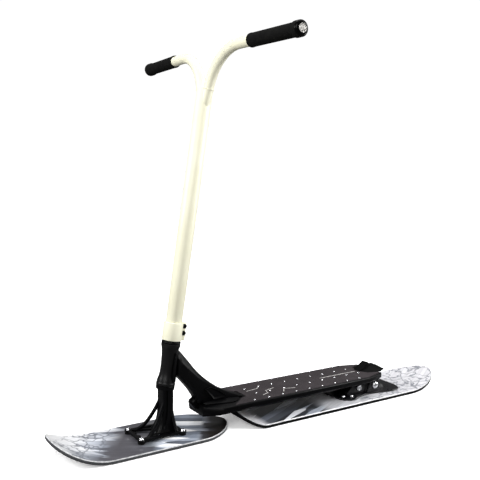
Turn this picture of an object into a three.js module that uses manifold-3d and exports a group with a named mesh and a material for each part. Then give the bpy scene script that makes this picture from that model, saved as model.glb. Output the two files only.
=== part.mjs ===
// A snow scooter: a handlebar and fork that steer a short front board, and a deck on a longer rear board.
// Millimetres. +X is forward, +Y is the rider's left, +Z is up, and the boards lie on Z = 0.
import * as THREE from "three";
import { mergeVertices } from "three/addons/utils/BufferGeometryUtils.js";
import { ConvexGeometry } from "three/addons/geometries/ConvexGeometry.js";
import Module from "manifold-3d";

const wasm = await Module();
wasm.setup();

const degrees = (angle) => (angle * Math.PI) / 180;

// Clearances
const seatGap = 0.3; // between pieces that seat on each other inside the turned steering frame
const screwClearance = 0.3; // radial, round a screw's shank
const cutOverrun = 2; // how far a cutting shape runs past what it cuts
const weldTolerance = 0.001;

// Domed screw heads: the flat on the dome, as a share of the head's radius
const domeTopShare = 0.7;

// Steering axis: it meets the ground at X = 0 and leans back
const steeringLean = degrees(8.3);

// Heights along the steering axis, from the ground
const crownBottom = 106;
const crownHeight = 8.2;
const headTubeLength = 89;
const crownRunningGap = 0.6;
const headsetCoverHeight = 5.2;
const gripHeight = 830;
const headTubeBottom = crownBottom + crownHeight;
const blackStackTop = headTubeBottom + headTubeLength + crownRunningGap + headsetCoverHeight;

// Steerer, and the tubes round it
const steererRadius = 14.3;
const steererWall = 2.4;
const steererInBar = 35; // its top, above the headset cover
const headTubeClearance = 0.6;
const headTubeWall = 1.8;
const steererBore = steererRadius - steererWall;
const steererTop = blackStackTop + steererInBar;
const headTubeBore = steererRadius + headTubeClearance;
const headTubeRadius = headTubeBore + headTubeWall;

// Handlebar
const barWidth = 616;
const armRadius = 11.1;
const armBore = 9.1;
const armBendRadius = 106;
const armBendAngle = degrees(76);
const armFootOffset = 4; // from the middle plane, at the arm's foot
const armFootSpread = 11.1; // how far the straight foot leans out to where the bend ends
const armFootLap = 47; // how far the down tube reaches up past the arm's foot
const armBendEnd = armFootOffset + armFootSpread;
const armBendStart = armBendEnd + armBendRadius * Math.sin(armBendAngle);
const armBendEndHeight = gripHeight - armBendRadius * (1 - Math.cos(armBendAngle));
const armFootHeight = armBendEndHeight - armFootSpread * Math.tan(armBendAngle);
const gripForward = 0.5; // the grip's inner end, ahead of the steering axis
const gripBacksweep = degrees(2.6);
const downTubeWall = 2.85;
const downTubeBore = steererRadius + seatGap;
const downTubeRadius = downTubeBore + downTubeWall;
const downTubeTop = armFootHeight + armFootLap;

// Grips and bar ends
const gripLength = 151;
const gripRadius = 13.6;
const gripFlangeRadius = 15.4;
const gripFlangeLength = 12;
const barEndThickness = 6;
const barEndStem = 20;
const barEndCapRadius = 10;
const barEndCapThickness = 1.2;

// Clamp
const clampHeight = 40;
const clampWall = 3.25;
const clampSlot = 3;
const clampLugLength = 7;
const clampLugHalfWidth = 7;
const clampBoltOffset = 0.6; // outside the clamp's round
const clampRadius = downTubeRadius + seatGap + clampWall;
const clampLugReach = clampRadius + clampLugLength;
const clampBoltReach = clampRadius + clampBoltOffset;
const clampBoltSpacing = 15;
const clampBoltRaise = 6; // above the clamp's middle
const clampBoltRadius = 3;
const clampHeadRadius = 5;
const clampHeadHeight = 6;

// Compression hardware
const capThickness = 3;
const compressionBoltRadius = 3;
const compressionBoltLength = 26;
const compressionHeadRadius = 6;
const compressionHeadHeight = 5;
const starNutHeight = 6;

// Headset, and the ends of the head tube
const bearingRingThickness = 4;
const bearingWidth = 6.5;
const bearingSeatDepth = 10;
const flareWall = 2;
const lowerFlareLength = 38;
const upperFlareLength = 16;
const flareRim = 5;
const coverOverhang = 2.95; // of the headset cover, past the down tube
const crownInset = 0.4; // of the crown, inside the head tube's flare
const raceInset = 1.3; // of the races, inside the bearings
const bearingRadius = steererRadius + bearingRingThickness;
const headTubeFlare = bearingRadius + seatGap + flareWall;
const headsetCoverRadius = downTubeRadius + coverOverhang;
const crownRadius = headTubeFlare - crownInset;
const crownRaceRadius = bearingRadius - raceInset;
const crownRaceHeight = crownRunningGap + bearingSeatDepth - bearingWidth - 2 * seatGap;

// Fork column and base
const columnSetback = 1.2; // behind the crown's middle
const columnBack = crownBottom * Math.sin(steeringLean) + columnSetback;
const columnHalfLength = 13;
const columnHalfWidth = 16.5;
const columnCorner = 6;
const columnFootSpread = 5;
const columnFrontSpread = 9;
// Shares of the column's height, and of how far it spreads at its foot, to the front and all round
const columnSpreadShares = [
  { rise: 0, front: 1, around: 1 },
  { rise: 0.13, front: 0.92, around: 0.4 },
  { rise: 0.36, front: 0.55, around: 0.05 },
  { rise: 0.62, front: 0, around: 0 },
];
const footPadHeight = 4;
const footPadRadius = 7.2;
const frontFootReach = 55;
const rearFootReach = 41;
const footHalfTrack = 33;
const baseThickness = 4.5;
const railHalfWidth = 3.5;
const bossRadius = 8;
const hubHalfLength = 22;
const hubHalfWidth = 23;
const crossbarKnobRadius = 5;
const crossbarKnobOffset = 11;
const frontLegDrop = 30; // a leg's top, below the crown
const rearLegDrop = 48;
const frontLegTop = crownBottom - frontLegDrop;
const rearLegTop = crownBottom - rearLegDrop;
const legTopOffset = 10;
const legHalfWidth = 3;
const legHalfDepth = 3.6;
// Where a leg bends, as shares of its run outwards and of its height
const frontKneeShares = { run: 0.53, rise: 0.06 };
const rearKneeShares = { run: 0.1, rise: 0.34 };
const footBoltRadius = 3;
const footHeadRadius = 5.2;
const footHeadHeight = 4.5;
const insertDepth = 6;

// Front board
const frontBoardThickness = 8;
const frontBoardHalfWidth = 80;
const frontNoseTip = 240;
const frontNoseRound = 118;
const frontNoseRise = 112;
const frontNoseRiseRadius = 181;
const frontTailTip = -168;
const frontTailRound = 93;
const frontTailRise = 30;
const frontTailRiseRadius = 300;
const noseRoundness = 2.45; // exponents of the outlines' round ends
const innerRoundness = 1.65;
const tailRoundness = 1.8;
const steepestRise = degrees(55);
const ringSweep = degrees(88); // spreads a board's rings so that they lie closest at its tips
const closestRings = 1;

// Deck: a hollow bar with three cells along it, open at the rear
const deckBottom = 43;
const deckThickness = 15.7;
const deckFront = -92;
const deckRear = -615;
const deckHalfWidth = 61.5;
const deckCornerCut = 13;
const deckCornerInset = 14;
const deckRearTaper = 55;
const deckRearNarrowing = 15.5; // each side
const deckEdgeBevel = 2;
const deckBottomBevel = 5;
const deckWall = 3;
const deckCellHalfWidth = 12.5; // of the middle cell
const deckCellEnd = 28; // the cells' closed ends, behind the deck's front
const deckTop = deckBottom + deckThickness;
const deckRearHalfWidth = deckHalfWidth - deckRearNarrowing;

// Rear board
const rearBoardThickness = 9;
const rearBoardHalfWidth = 82.5;
const boardGap = 6; // between the two boards' ends
const noseUnderDeckGap = 0.9;
const rearNoseRound = 52;
const rearNoseRise = 61;
const rearTailOverhang = 220; // behind the deck
const rearTailRound = 135;
const rearTailRise = 150;
const rearTailRiseRadius = 469;
const rearNoseTip = frontTailTip - boardGap;
const rearTailTip = deckRear - rearTailOverhang;

// Traction sheet and its studs
const sheetThickness = 1.2;
const sheetMargin = 1.5;
const sheetFrontSetback = 50; // behind the deck's front
const sheetNeckGap = 4; // beside the neck's tail
const sheetNeckFlare = 12; // beside the neck, where the notch widens
const sheetNotchTaper = 17;
const sheetNotchEnd = 5; // behind the neck's tail
const studRadius = 2.3;
const studHeight = 1.8;
const studSpacing = 39.6;
const firstStudLead = 12; // ahead of the notch's end
const outerStudInset = 7.5; // from the deck's edge
const innerStudRow = 19;

// Neck
const neckHalfWidth = 19;
const neckTopHalfWidth = 15;
const neckBevel = 9;
const neckFront = -28;
const neckTail = 113; // behind the deck's front
const neckTopDrop = 6.8; // below the headset cover's top
const neckLength = neckFront - (deckFront - neckTail);
const neckHeight = blackStackTop * Math.cos(steeringLean) - neckTopDrop - deckTop;
// Each station of the neck: its top's and its bottom's shares of the neck's length and height
const neckStationShares = [
  { top: [0, 1], bottom: [0.01, 0.555] },
  { top: [0.113, 0.866], bottom: [0.09, 0.435] },
  { top: [0.215, 0.714], bottom: [0.158, 0.343] },
  { top: [0.316, 0.558], bottom: [0.237, 0.25] },
  { top: [0.429, 0.42], bottom: [0.305, 0.145] },
  { top: [0.565, 0.286], bottom: [0.401, 0.003] },
  { top: [0.701, 0.176], bottom: [0.542, 0.003] },
  { top: [0.836, 0.095], bottom: [0.701, 0.003] },
  { top: [0.949, 0.038], bottom: [0.87, 0.003] },
  { top: [1, 0.017], bottom: [0.983, 0.003] },
];
const noseHalfWidth = 7.5;
const noseReach = 14;
const noseHeight = 36;
// The nose block's outline, as shares of its reach ahead of the deck and of its height
const noseShares = [
  [-0.4, 1],
  [0.43, 0.6],
  [1, 0.36],
  [0.5, 0.1],
  [0.02, 0],
  [0.02, 0.34],
  [-0.4, 0.34],
];

// Shoulders between the neck and the deck
const shoulderSetback = 4; // behind the deck's front
const shoulderLength = 92;
const shoulderInset = 13.5; // from the deck's edge
const shoulderHeight = 36;
// Shares of the shoulder's length back, its half width beyond the neck, and its height
const shoulderShares = [
  [0, 0, 0],
  [0, 1, 0],
  [0.06, 0.8, 0.3],
  [0.02, 0, 1],
  [0.4, 0, 0.6],
  [1, 0, 0],
  [1, 0.3, 0],
  [0.97, 0, 0.1],
  [0.6, 0.6, 0.14],
];

// Foot stop at the deck's rear
const stopRearInset = 4; // from the deck's rear end
const stopCrestBack = 10;
const stopRampLength = 31;
const stopCrestHeight = 20;
const stopRampHalfWidth = 11;
const stopBlockHeight = 9.8;
const stopBlockLead = 36; // the block's front, ahead of the stop's back
const stopBlockLength = 70;
const stopBlockHalfWidth = 39;
// Shares of the block's length back, its half width and its height
const stopBlockShares = [
  [0, 0.33, 0],
  [0.09, 0.72, 0],
  [0.6, 1, 0],
  [1, 0.66, 0],
  [0.4, 0.26, 1],
  [0.79, 0.26, 1],
];
const stopBoltLead = 5;
const stopBoltRadius = 2.5;
const stopBoltHeadRadius = 4.5;
const stopBoltHeadHeight = 2.5;
const stopBoltDepth = 12;
const stopBack = deckRear + stopRearInset;
const stopCrest = stopBack + stopCrestBack;
const stopFront = stopCrest + stopRampLength;
const stopBlockFront = stopBack + stopBlockLead;
const stopBoltPlace = stopBack + stopBoltLead;

// Rear bracket
const plateThickness = 4;
const plateLead = 137; // the plate's front, ahead of the deck's rear end
const plateLength = 204;
const plateFront = deckRear + plateLead;
const plateHalfWidth = 62;
// Half the plate's outline, as shares of its length back and of its half width
const plateShares = [
  [0, 0.48],
  [0.03, 0.81],
  [0.093, 0.98],
  [0.176, 1],
  [0.275, 0.85],
  [0.382, 0.77],
  [0.52, 0.77],
  [0.637, 0.85],
  [0.775, 0.94],
  [0.892, 0.95],
  [0.951, 0.84],
  [1, 0.48],
];
const uprightInner = 30;
const uprightThickness = 8;
const uprightSetback = 28; // behind the plate's front
const uprightLength = 124;
const uprightFront = plateFront - uprightSetback;
// The upright's outline, as shares of its length back and of its height
const uprightShares = [
  [0, 0],
  [0, 0.24],
  [0.12, 0.73],
  [0.19, 1],
  [0.85, 1],
  [0.89, 0.6],
  [1, 0.27],
  [1, 0],
];
const cheekThickness = 15;
const cheekRadius = 14;
const cheekBack = 26;
const bracketBoltSetback = 35; // behind the upright's front
const axleSetback = 86;
const bracketBoltDrop = 13; // below the deck
const axleDrop = 12;
const bracketBoltPlace = uprightFront - bracketBoltSetback;
const axlePlace = uprightFront - axleSetback;
const bracketBoltHeight = deckBottom - bracketBoltDrop;
const axleHeight = deckBottom - axleDrop;
const bracketBoltRadius = 4;
const axleRadius = 5;
const bracketNutRadius = 7.5;
const bracketNutHeight = 6.5;
const axleHeadRadius = 8.6;
const axleHeadHeight = 5.5;
const hangerHeight = 22;
const hangerMargin = 13; // ahead of the bracket bolt
const axleMargin = 14; // behind the axle
const hangerBottom = deckBottom - hangerHeight;
const hangerFront = bracketBoltPlace + hangerMargin;
const hangerRear = axlePlace - axleMargin;
const plateBoltRadius = 3;
const plateHeadRadius = 4.5;
const plateHeadHeight = 3.5;
// Where the plate's screws lie: behind its front edge, and off the middle plane
const frontScrewBack = 17;
const frontScrewOffset = 35;
const middleScrewBack = 37;
const middleScrewGap = 0.5; // between the upright and the screw's head
const rearScrewBack = 150;
const rearScrewInset = 10; // from the upright
const middleScrewOffset = uprightInner + uprightThickness + middleScrewGap + plateHeadRadius;
const rearScrewOffset = uprightInner - rearScrewInset;
const plateBolts = [
  { name: "front", back: frontScrewBack, across: frontScrewOffset },
  { name: "middle", back: middleScrewBack, across: middleScrewOffset },
  { name: "rear", back: rearScrewBack, across: rearScrewOffset },
];

// Solids

function toSolid(geometry) {
  const bare = geometry.index ? geometry.toNonIndexed() : geometry.clone();
  bare.deleteAttribute("normal");
  bare.deleteAttribute("uv");
  const merged = mergeVertices(bare, weldTolerance);
  return new wasm.Manifold(
    new wasm.Mesh({
      numProp: 3,
      vertProperties: merged.attributes.position.array,
      triVerts: new Uint32Array(merged.index.array),
    }),
  );
}

function toGeometry(solid) {
  const mesh = solid.getMesh();
  const indexed = new THREE.BufferGeometry();
  indexed.setAttribute("position", new THREE.BufferAttribute(mesh.vertProperties, 3));
  indexed.setIndex(new THREE.BufferAttribute(mesh.triVerts, 1));
  const flat = indexed.toNonIndexed();
  flat.computeVertexNormals();
  return flat;
}

function join(...geometries) {
  return toGeometry(geometries.map(toSolid).reduce((whole, next) => whole.add(next)));
}

function cut(geometry, ...tools) {
  return toGeometry(tools.map(toSolid).reduce((whole, tool) => whole.subtract(tool), toSolid(geometry)));
}

// A solid through a list of rings, each with as many points as the next, all turning the same way.
function loft(rings) {
  const count = rings[0].length;
  const points = rings.flat();
  const index = [];
  for (let ring = 0; ring + 1 < rings.length; ring++) {
    for (let i = 0; i < count; i++) {
      const a = ring * count + i;
      const b = ring * count + ((i + 1) % count);
      index.push(a, b, b + count, a, b + count, a + count);
    }
  }
  const last = (rings.length - 1) * count;
  for (let i = 1; i + 1 < count; i++) {
    index.push(0, i + 1, i);
    index.push(last, last + i, last + i + 1);
  }
  const geometry = new THREE.BufferGeometry().setFromPoints(points);
  geometry.setIndex(index);
  return geometry;
}

function outline(points) {
  return new THREE.Shape(points.map(([x, y]) => new THREE.Vector2(x, y)));
}

// A flat plate: an outline in X and Y, from one height to another.
function plate(shape, bottom, top, curveSegments = 12) {
  const geometry = new THREE.ExtrudeGeometry(shape, {
    depth: top - bottom,
    bevelEnabled: false,
    curveSegments,
  });
  return geometry.translate(0, 0, bottom);
}

// A side plate: an outline in X and Z, between two distances from the middle plane.
function sidePlate(shape, from, to, curveSegments = 12) {
  const geometry = new THREE.ExtrudeGeometry(shape, {
    depth: to - from,
    bevelEnabled: false,
    curveSegments,
  });
  return geometry.rotateX(Math.PI / 2).translate(0, to, 0);
}

function box(x0, x1, y0, y1, z0, z1) {
  const geometry = new THREE.BoxGeometry(x1 - x0, y1 - y0, z1 - z0);
  return geometry.translate((x0 + x1) / 2, (y0 + y1) / 2, (z0 + z1) / 2);
}

// A turned piece about Z: radius and height pairs, from the axis and back to it, or closed on itself.
function turned(profile, segments = 24) {
  const points = profile.map(([radius, height]) => new THREE.Vector2(radius, height));
  return new THREE.LatheGeometry(points, segments).rotateX(Math.PI / 2);
}

function disc(radius, bottom, top, segments = 24) {
  return turned([[0, bottom], [radius, bottom], [radius, top], [0, top]], segments);
}

function sleeve(inner, outer, bottom, top, segments = 24) {
  return turned([[inner, bottom], [outer, bottom], [outer, top], [inner, top], [inner, bottom]], segments);
}

// A turned piece about Z laid along Y, with its top towards the side named.
function alongSide(geometry, side) {
  return geometry.rotateX((-side * Math.PI) / 2);
}

// Meshes

const finishes = {
  cream: { color: 0xece8d6, roughness: 0.35, metalness: 0.1 },
  gripRubber: { color: 0x141414, roughness: 0.85, metalness: 0 },
  blackPaint: { color: 0x1a1a1c, roughness: 0.45, metalness: 0.4 },
  steel: { color: 0xc8c8c8, roughness: 0.3, metalness: 1 },
  blackSteel: { color: 0x202022, roughness: 0.4, metalness: 0.8 },
  sheet: { color: 0x544f51, roughness: 0.9, metalness: 0 },
  padRubber: { color: 0x18181a, roughness: 0.8, metalness: 0 },
  board: { color: 0xa8abb4, roughness: 0.25, metalness: 0 },
  bearing: { color: 0x9a9a9c, roughness: 0.3, metalness: 1 },
};

const scooter = new THREE.Group();
scooter.name = "snow_scooter";
scooter.position.x = -(frontNoseTip + rearTailTip) / 2;
const steeringFrame = new THREE.Group();
steeringFrame.rotation.y = -steeringLean;
scooter.add(steeringFrame);

function add(parent, name, geometry, finish) {
  const mesh = new THREE.Mesh(geometry, new THREE.MeshStandardMaterial(finishes[finish]));
  mesh.name = name;
  parent.add(mesh);
}

const sides = [
  { name: "left", sign: 1 },
  { name: "right", sign: -1 },
];

// Handlebar

// How far the grip line lies ahead of the steering axis at a distance from the middle plane.
function gripLineForward(across) {
  const innerEnd = barWidth / 2 - gripLength;
  return gripForward - (across - innerEnd) * Math.tan(gripBacksweep);
}

function armPath(side) {
  const points = [];
  const gripMiddle = barWidth / 2 - gripLength / 2;
  const tubeReach = gripLength / 2 - barEndThickness - seatGap;
  const outerEnd = gripMiddle + tubeReach * Math.cos(gripBacksweep);
  const straightSteps = 3;
  for (let i = 0; i < straightSteps; i++) {
    const across = outerEnd + ((armBendStart - outerEnd) * i) / straightSteps;
    points.push(new THREE.Vector3(gripLineForward(across), side * across, gripHeight));
  }
  const bendSteps = 8;
  const bendForward = gripLineForward(armBendStart);
  for (let i = 0; i <= bendSteps; i++) {
    const share = i / bendSteps;
    const angle = armBendAngle * share;
    const across = armBendStart - armBendRadius * Math.sin(angle);
    const height = gripHeight - armBendRadius * (1 - Math.cos(angle));
    points.push(new THREE.Vector3(bendForward * Math.cos((share * Math.PI) / 2), side * across, height));
  }
  points.push(new THREE.Vector3(0, side * armFootOffset, armFootHeight));
  return new THREE.CatmullRomCurve3(points, false, "centripetal");
}

function arm(side) {
  const section = new THREE.Shape();
  section.absarc(0, 0, armRadius, 0, 2 * Math.PI, false);
  const bore = new THREE.Path();
  bore.absarc(0, 0, armBore, 0, 2 * Math.PI, true);
  section.holes.push(bore);
  const tube = new THREE.ExtrudeGeometry(section, { steps: 20, curveSegments: 8, extrudePath: armPath(side) });
  const tubeTop = disc(downTubeRadius + seatGap, 0, downTubeTop + seatGap, 32);
  const reach = armBendStart;
  const halfGap = seatGap / 2;
  const otherSide = side > 0 ? box(-reach, reach, -reach, halfGap, 0, gripHeight + reach)
    : box(-reach, reach, -halfGap, reach, 0, gripHeight + reach);
  return cut(tube, tubeTop, otherSide);
}

add(steeringFrame, "down_tube", sleeve(downTubeBore, downTubeRadius, blackStackTop + seatGap, downTubeTop, 32), "cream");

// A turned piece about Z, set on the grip line with its top towards the grip's outer end.
function onGripLine(geometry, side) {
  const middle = barWidth / 2 - gripLength / 2;
  const turn = new THREE.Matrix4().makeRotationX((-side * Math.PI) / 2);
  const sweep = new THREE.Matrix4().makeRotationZ(side * gripBacksweep);
  const place = new THREE.Matrix4().makeTranslation(gripLineForward(middle), side * middle, gripHeight);
  return geometry.applyMatrix4(place.multiply(sweep).multiply(turn));
}

for (const { name, sign } of sides) {
  const innerEnd = -gripLength / 2;
  const outerEnd = gripLength / 2;
  const barEndInner = outerEnd - barEndThickness;
  const gripEnd = barEndInner - seatGap;
  const gripBore = armRadius + seatGap;
  const flangeStart = gripEnd - gripFlangeLength;
  const gripProfile = [
    [gripBore, innerEnd],
    [gripRadius, innerEnd],
    [gripRadius, flangeStart - (gripFlangeRadius - gripRadius)],
    [gripFlangeRadius, flangeStart],
    [gripFlangeRadius, gripEnd],
    [gripBore, gripEnd],
    [gripBore, innerEnd],
  ];
  const plugRadius = armBore - seatGap;
  const plugProfile = [
    [0, barEndInner - barEndStem],
    [plugRadius, barEndInner - barEndStem],
    [plugRadius, barEndInner],
    [gripFlangeRadius, barEndInner],
    [gripFlangeRadius, outerEnd - barEndThickness / 2],
    [gripFlangeRadius - barEndThickness / 2, outerEnd],
    [barEndCapRadius, outerEnd],
    [barEndCapRadius, outerEnd - barEndCapThickness],
    [0, outerEnd - barEndCapThickness],
  ];
  const cap = disc(barEndCapRadius - seatGap, outerEnd - barEndCapThickness + seatGap, outerEnd);
  add(steeringFrame, `${name}_handlebar_arm`, arm(sign), "cream");
  add(steeringFrame, `${name}_grip`, onGripLine(turned(gripProfile), sign), "gripRubber");
  add(steeringFrame, `${name}_bar_end`, onGripLine(turned(plugProfile), sign), "gripRubber");
  add(steeringFrame, `${name}_bar_end_cap`, onGripLine(cap, sign), "steel");
}

// Clamp

const clampBottom = blackStackTop + 2 * seatGap;
const clampMiddle = clampBottom + clampHeight / 2;
const clampBoltHeights = {
  upper_clamp_bolt: clampMiddle + clampBoltRaise + clampBoltSpacing / 2,
  lower_clamp_bolt: clampMiddle + clampBoltRaise - clampBoltSpacing / 2,
};

function clampBody() {
  const top = clampBottom + clampHeight;
  const ring = disc(clampRadius, clampBottom, top, 32);
  const lugs = box(-clampLugReach, 0, -clampLugHalfWidth, clampLugHalfWidth, clampBottom, top);
  const bore = disc(downTubeRadius + seatGap, clampBottom - cutOverrun, top + cutOverrun, 32);
  const slot = box(-clampLugReach - cutOverrun, 0, -clampSlot / 2, clampSlot / 2,
    clampBottom - cutOverrun, top + cutOverrun);
  const boltHoles = Object.values(clampBoltHeights).map((height) => {
    const hole = clampBoltRadius + screwClearance;
    const spotFace = clampHeadRadius + screwClearance;
    const profile = [
      [0, -clampRadius],
      [hole, -clampRadius],
      [hole, clampLugHalfWidth],
      [spotFace, clampLugHalfWidth],
      [spotFace, clampRadius],
      [0, clampRadius],
    ];
    return alongSide(turned(profile, 12), 1).translate(-clampBoltReach, 0, height);
  });
  return cut(join(ring, lugs), bore, slot, ...boltHoles);
}

add(steeringFrame, "bar_clamp", clampBody(), "cream");
for (const [name, height] of Object.entries(clampBoltHeights)) {
  const headBottom = clampLugHalfWidth + seatGap;
  const socketRadius = clampHeadRadius / 2;
  const socketDepth = clampHeadHeight / 2;
  const profile = [
    [0, -clampLugHalfWidth],
    [clampBoltRadius, -clampLugHalfWidth],
    [clampBoltRadius, headBottom],
    [clampHeadRadius, headBottom],
    [clampHeadRadius, headBottom + clampHeadHeight],
    [socketRadius, headBottom + clampHeadHeight],
    [socketRadius, headBottom + clampHeadHeight - socketDepth],
    [0, headBottom + clampHeadHeight - socketDepth],
  ];
  const bolt = alongSide(turned(profile, 12), 1).translate(-clampBoltReach, 0, height);
  add(steeringFrame, name, bolt, "blackSteel");
}

// Steerer and compression hardware

const capBottom = steererTop + seatGap;
const compressionHeadBottom = capBottom + capThickness + seatGap;
const compressionBoltBottom = compressionHeadBottom - compressionBoltLength;
const compressionHole = compressionBoltRadius + screwClearance;
add(steeringFrame, "steerer_tube",
  sleeve(steererBore, steererRadius, crownBottom + seatGap, steererTop), "bearing");
add(steeringFrame, "compression_cap",
  sleeve(compressionHole, downTubeBore - seatGap, capBottom, capBottom + capThickness), "blackSteel");
add(steeringFrame, "compression_bolt", turned([
  [0, compressionBoltBottom],
  [compressionBoltRadius, compressionBoltBottom],
  [compressionBoltRadius, compressionHeadBottom],
  [compressionHeadRadius, compressionHeadBottom],
  [compressionHeadRadius, compressionHeadBottom + compressionHeadHeight],
  [0, compressionHeadBottom + compressionHeadHeight],
], 12), "steel");
add(steeringFrame, "star_nut",
  sleeve(compressionHole, steererBore - seatGap, compressionBoltBottom + seatGap,
    compressionBoltBottom + seatGap + starNutHeight), "steel");

// Headset and head tube

const coverBottom = blackStackTop - headsetCoverHeight;
const headTubeTop = coverBottom - crownRunningGap;
const steererHole = steererRadius + seatGap;

function headTubeOutline(grow) {
  const flare = headTubeFlare + grow;
  const waist = headTubeRadius + grow;
  return [
    [flare, headTubeBottom - grow],
    [flare, headTubeBottom + flareRim],
    [waist, headTubeBottom + lowerFlareLength],
    [waist, headTubeTop - upperFlareLength],
    [flare, headTubeTop - flareRim],
    [flare, headTubeTop + grow],
  ];
}

const seatRadius = bearingRadius + seatGap;
add(steeringFrame, "head_tube", turned([
  [seatRadius, headTubeBottom],
  ...headTubeOutline(0),
  [seatRadius, headTubeTop],
  [seatRadius, headTubeTop - bearingSeatDepth],
  [headTubeBore, headTubeTop - bearingSeatDepth],
  [headTubeBore, headTubeBottom + bearingSeatDepth],
  [seatRadius, headTubeBottom + bearingSeatDepth],
  [seatRadius, headTubeBottom],
], 32), "blackPaint");

const upperBearingBottom = headTubeTop - bearingSeatDepth + seatGap;
const lowerBearingTop = headTubeBottom + bearingSeatDepth - seatGap;
const ringBottom = upperBearingBottom + bearingWidth + seatGap;
add(steeringFrame, "upper_bearing",
  sleeve(steererHole, bearingRadius, upperBearingBottom, upperBearingBottom + bearingWidth), "bearing");
add(steeringFrame, "lower_bearing",
  sleeve(steererHole, bearingRadius, lowerBearingTop - bearingWidth, lowerBearingTop), "bearing");
add(steeringFrame, "compression_ring",
  sleeve(steererHole, crownRaceRadius, ringBottom, coverBottom - seatGap), "blackSteel");
add(steeringFrame, "headset_cover", turned([
  [steererHole, coverBottom],
  [headsetCoverRadius, coverBottom],
  [headsetCoverRadius, coverBottom + headsetCoverHeight / 2],
  [downTubeRadius, blackStackTop],
  [steererHole, blackStackTop],
  [steererHole, coverBottom],
], 32), "blackPaint");

const crownTop = headTubeBottom - crownRunningGap;
add(steeringFrame, "fork_crown", turned([
  [steererHole, crownBottom],
  [crownRadius, crownBottom],
  [crownRadius, crownTop],
  [crownRaceRadius, crownTop],
  [crownRaceRadius, crownTop + crownRaceHeight],
  [steererHole, crownTop + crownRaceHeight],
  [steererHole, crownBottom],
], 32), "blackPaint");

// Fork column, legs and base

const baseBottom = frontBoardThickness + footPadHeight;
const baseTop = baseBottom + baseThickness;
const legBottom = baseTop + seatGap;

// A level ring with round corners.
function roundedRing(middle, halfLength, halfWidth, corner, height) {
  const points = [];
  const cornerSteps = 3;
  const corners = [[1, 1], [-1, 1], [-1, -1], [1, -1]];
  corners.forEach(([signX, signY], quarter) => {
    for (let i = 0; i <= cornerSteps; i++) {
      const angle = ((quarter + i / cornerSteps) * Math.PI) / 2;
      const x = middle + signX * (halfLength - corner) + corner * Math.cos(angle);
      const y = signY * (halfWidth - corner) + corner * Math.sin(angle);
      points.push(new THREE.Vector3(x, y, height));
    }
  });
  return points;
}

// The column spreads at its foot, most of all to the front; grow gives the room that it needs.
function columnSolid(grow) {
  const rings = columnSpreadShares.map(({ rise, front, around }) => {
    const ahead = front * columnFrontSpread;
    const spread = around * columnFootSpread + grow;
    const height = legBottom + rise * (crownBottom - legBottom);
    return roundedRing(-columnBack + ahead / 2, columnHalfLength + ahead / 2 + spread,
      columnHalfWidth + spread, columnCorner + grow, height);
  });
  if (grow > 0) {
    rings.unshift(rings[0].map((point) => point.clone().setZ(legBottom - cutOverrun)));
  }
  rings.push(rings[rings.length - 1].map((point) => point.clone().setZ(crownBottom + cutOverrun)));
  return loft(rings);
}

function aboveCrown() {
  const reach = crownRadius * 2;
  return box(-reach, reach, -reach, reach, crownBottom - seatGap, crownBottom + reach)
    .rotateY(-steeringLean);
}

add(scooter, "fork_column", cut(columnSolid(0), aboveCrown()), "blackPaint");

// A curved leg from the column down to a foot.
function leg(reach, topHeight, sideSign, kneeShares) {
  const forward = Math.sign(reach);
  const columnFace = -columnBack + forward * (columnHalfLength - legHalfDepth);
  const footInner = reach - forward * (bossRadius + legHalfDepth);
  const topSide = sideSign * legTopOffset;
  const footSide = sideSign * (footHalfTrack - legHalfWidth);
  const footHeight = legBottom - legHalfDepth;
  const top = new THREE.Vector3(columnFace, topSide, topHeight);
  const knee = new THREE.Vector3(
    columnFace + (footInner - columnFace) * kneeShares.run,
    (topSide + footSide) / 2,
    footHeight + (topHeight - footHeight) * kneeShares.rise,
  );
  const foot = new THREE.Vector3(footInner, footSide, footHeight);
  const path = new THREE.QuadraticBezierCurve3(top, knee, foot);
  const section = outline([
    [-legHalfDepth, -legHalfWidth],
    [legHalfDepth, -legHalfWidth],
    [legHalfDepth, legHalfWidth],
    [-legHalfDepth, legHalfWidth],
  ]);
  const blade = new THREE.ExtrudeGeometry(section, { steps: 10, extrudePath: path });
  const span = frontFootReach + rearFootReach;
  const belowBase = box(-span, span, -span, span, 0, legBottom);
  return cut(blade, columnSolid(seatGap), belowBase);
}

for (const { name, sign } of sides) {
  add(scooter, `front_${name}_fork_leg`, leg(frontFootReach, frontLegTop, sign, frontKneeShares), "blackPaint");
  add(scooter, `rear_${name}_fork_leg`, leg(-rearFootReach, rearLegTop, sign, rearKneeShares), "blackPaint");
}

// A straight rail of the base between two places.
function rail([x0, y0], [x1, y1]) {
  const length = Math.hypot(x1 - x0, y1 - y0);
  const bar = box(0, length, -railHalfWidth, railHalfWidth, baseBottom, baseTop);
  return bar.rotateZ(Math.atan2(y1 - y0, x1 - x0)).translate(x0, y0, 0);
}

const feet = sides.flatMap(({ name, sign }) => [
  { name: `front_${name}`, x: frontFootReach, y: sign * footHalfTrack },
  { name: `rear_${name}`, x: -rearFootReach, y: sign * footHalfTrack },
]);

function holeAt(x, y, radius, bottom, top) {
  return disc(radius, bottom, top, 12).translate(x, y, 0);
}

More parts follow.
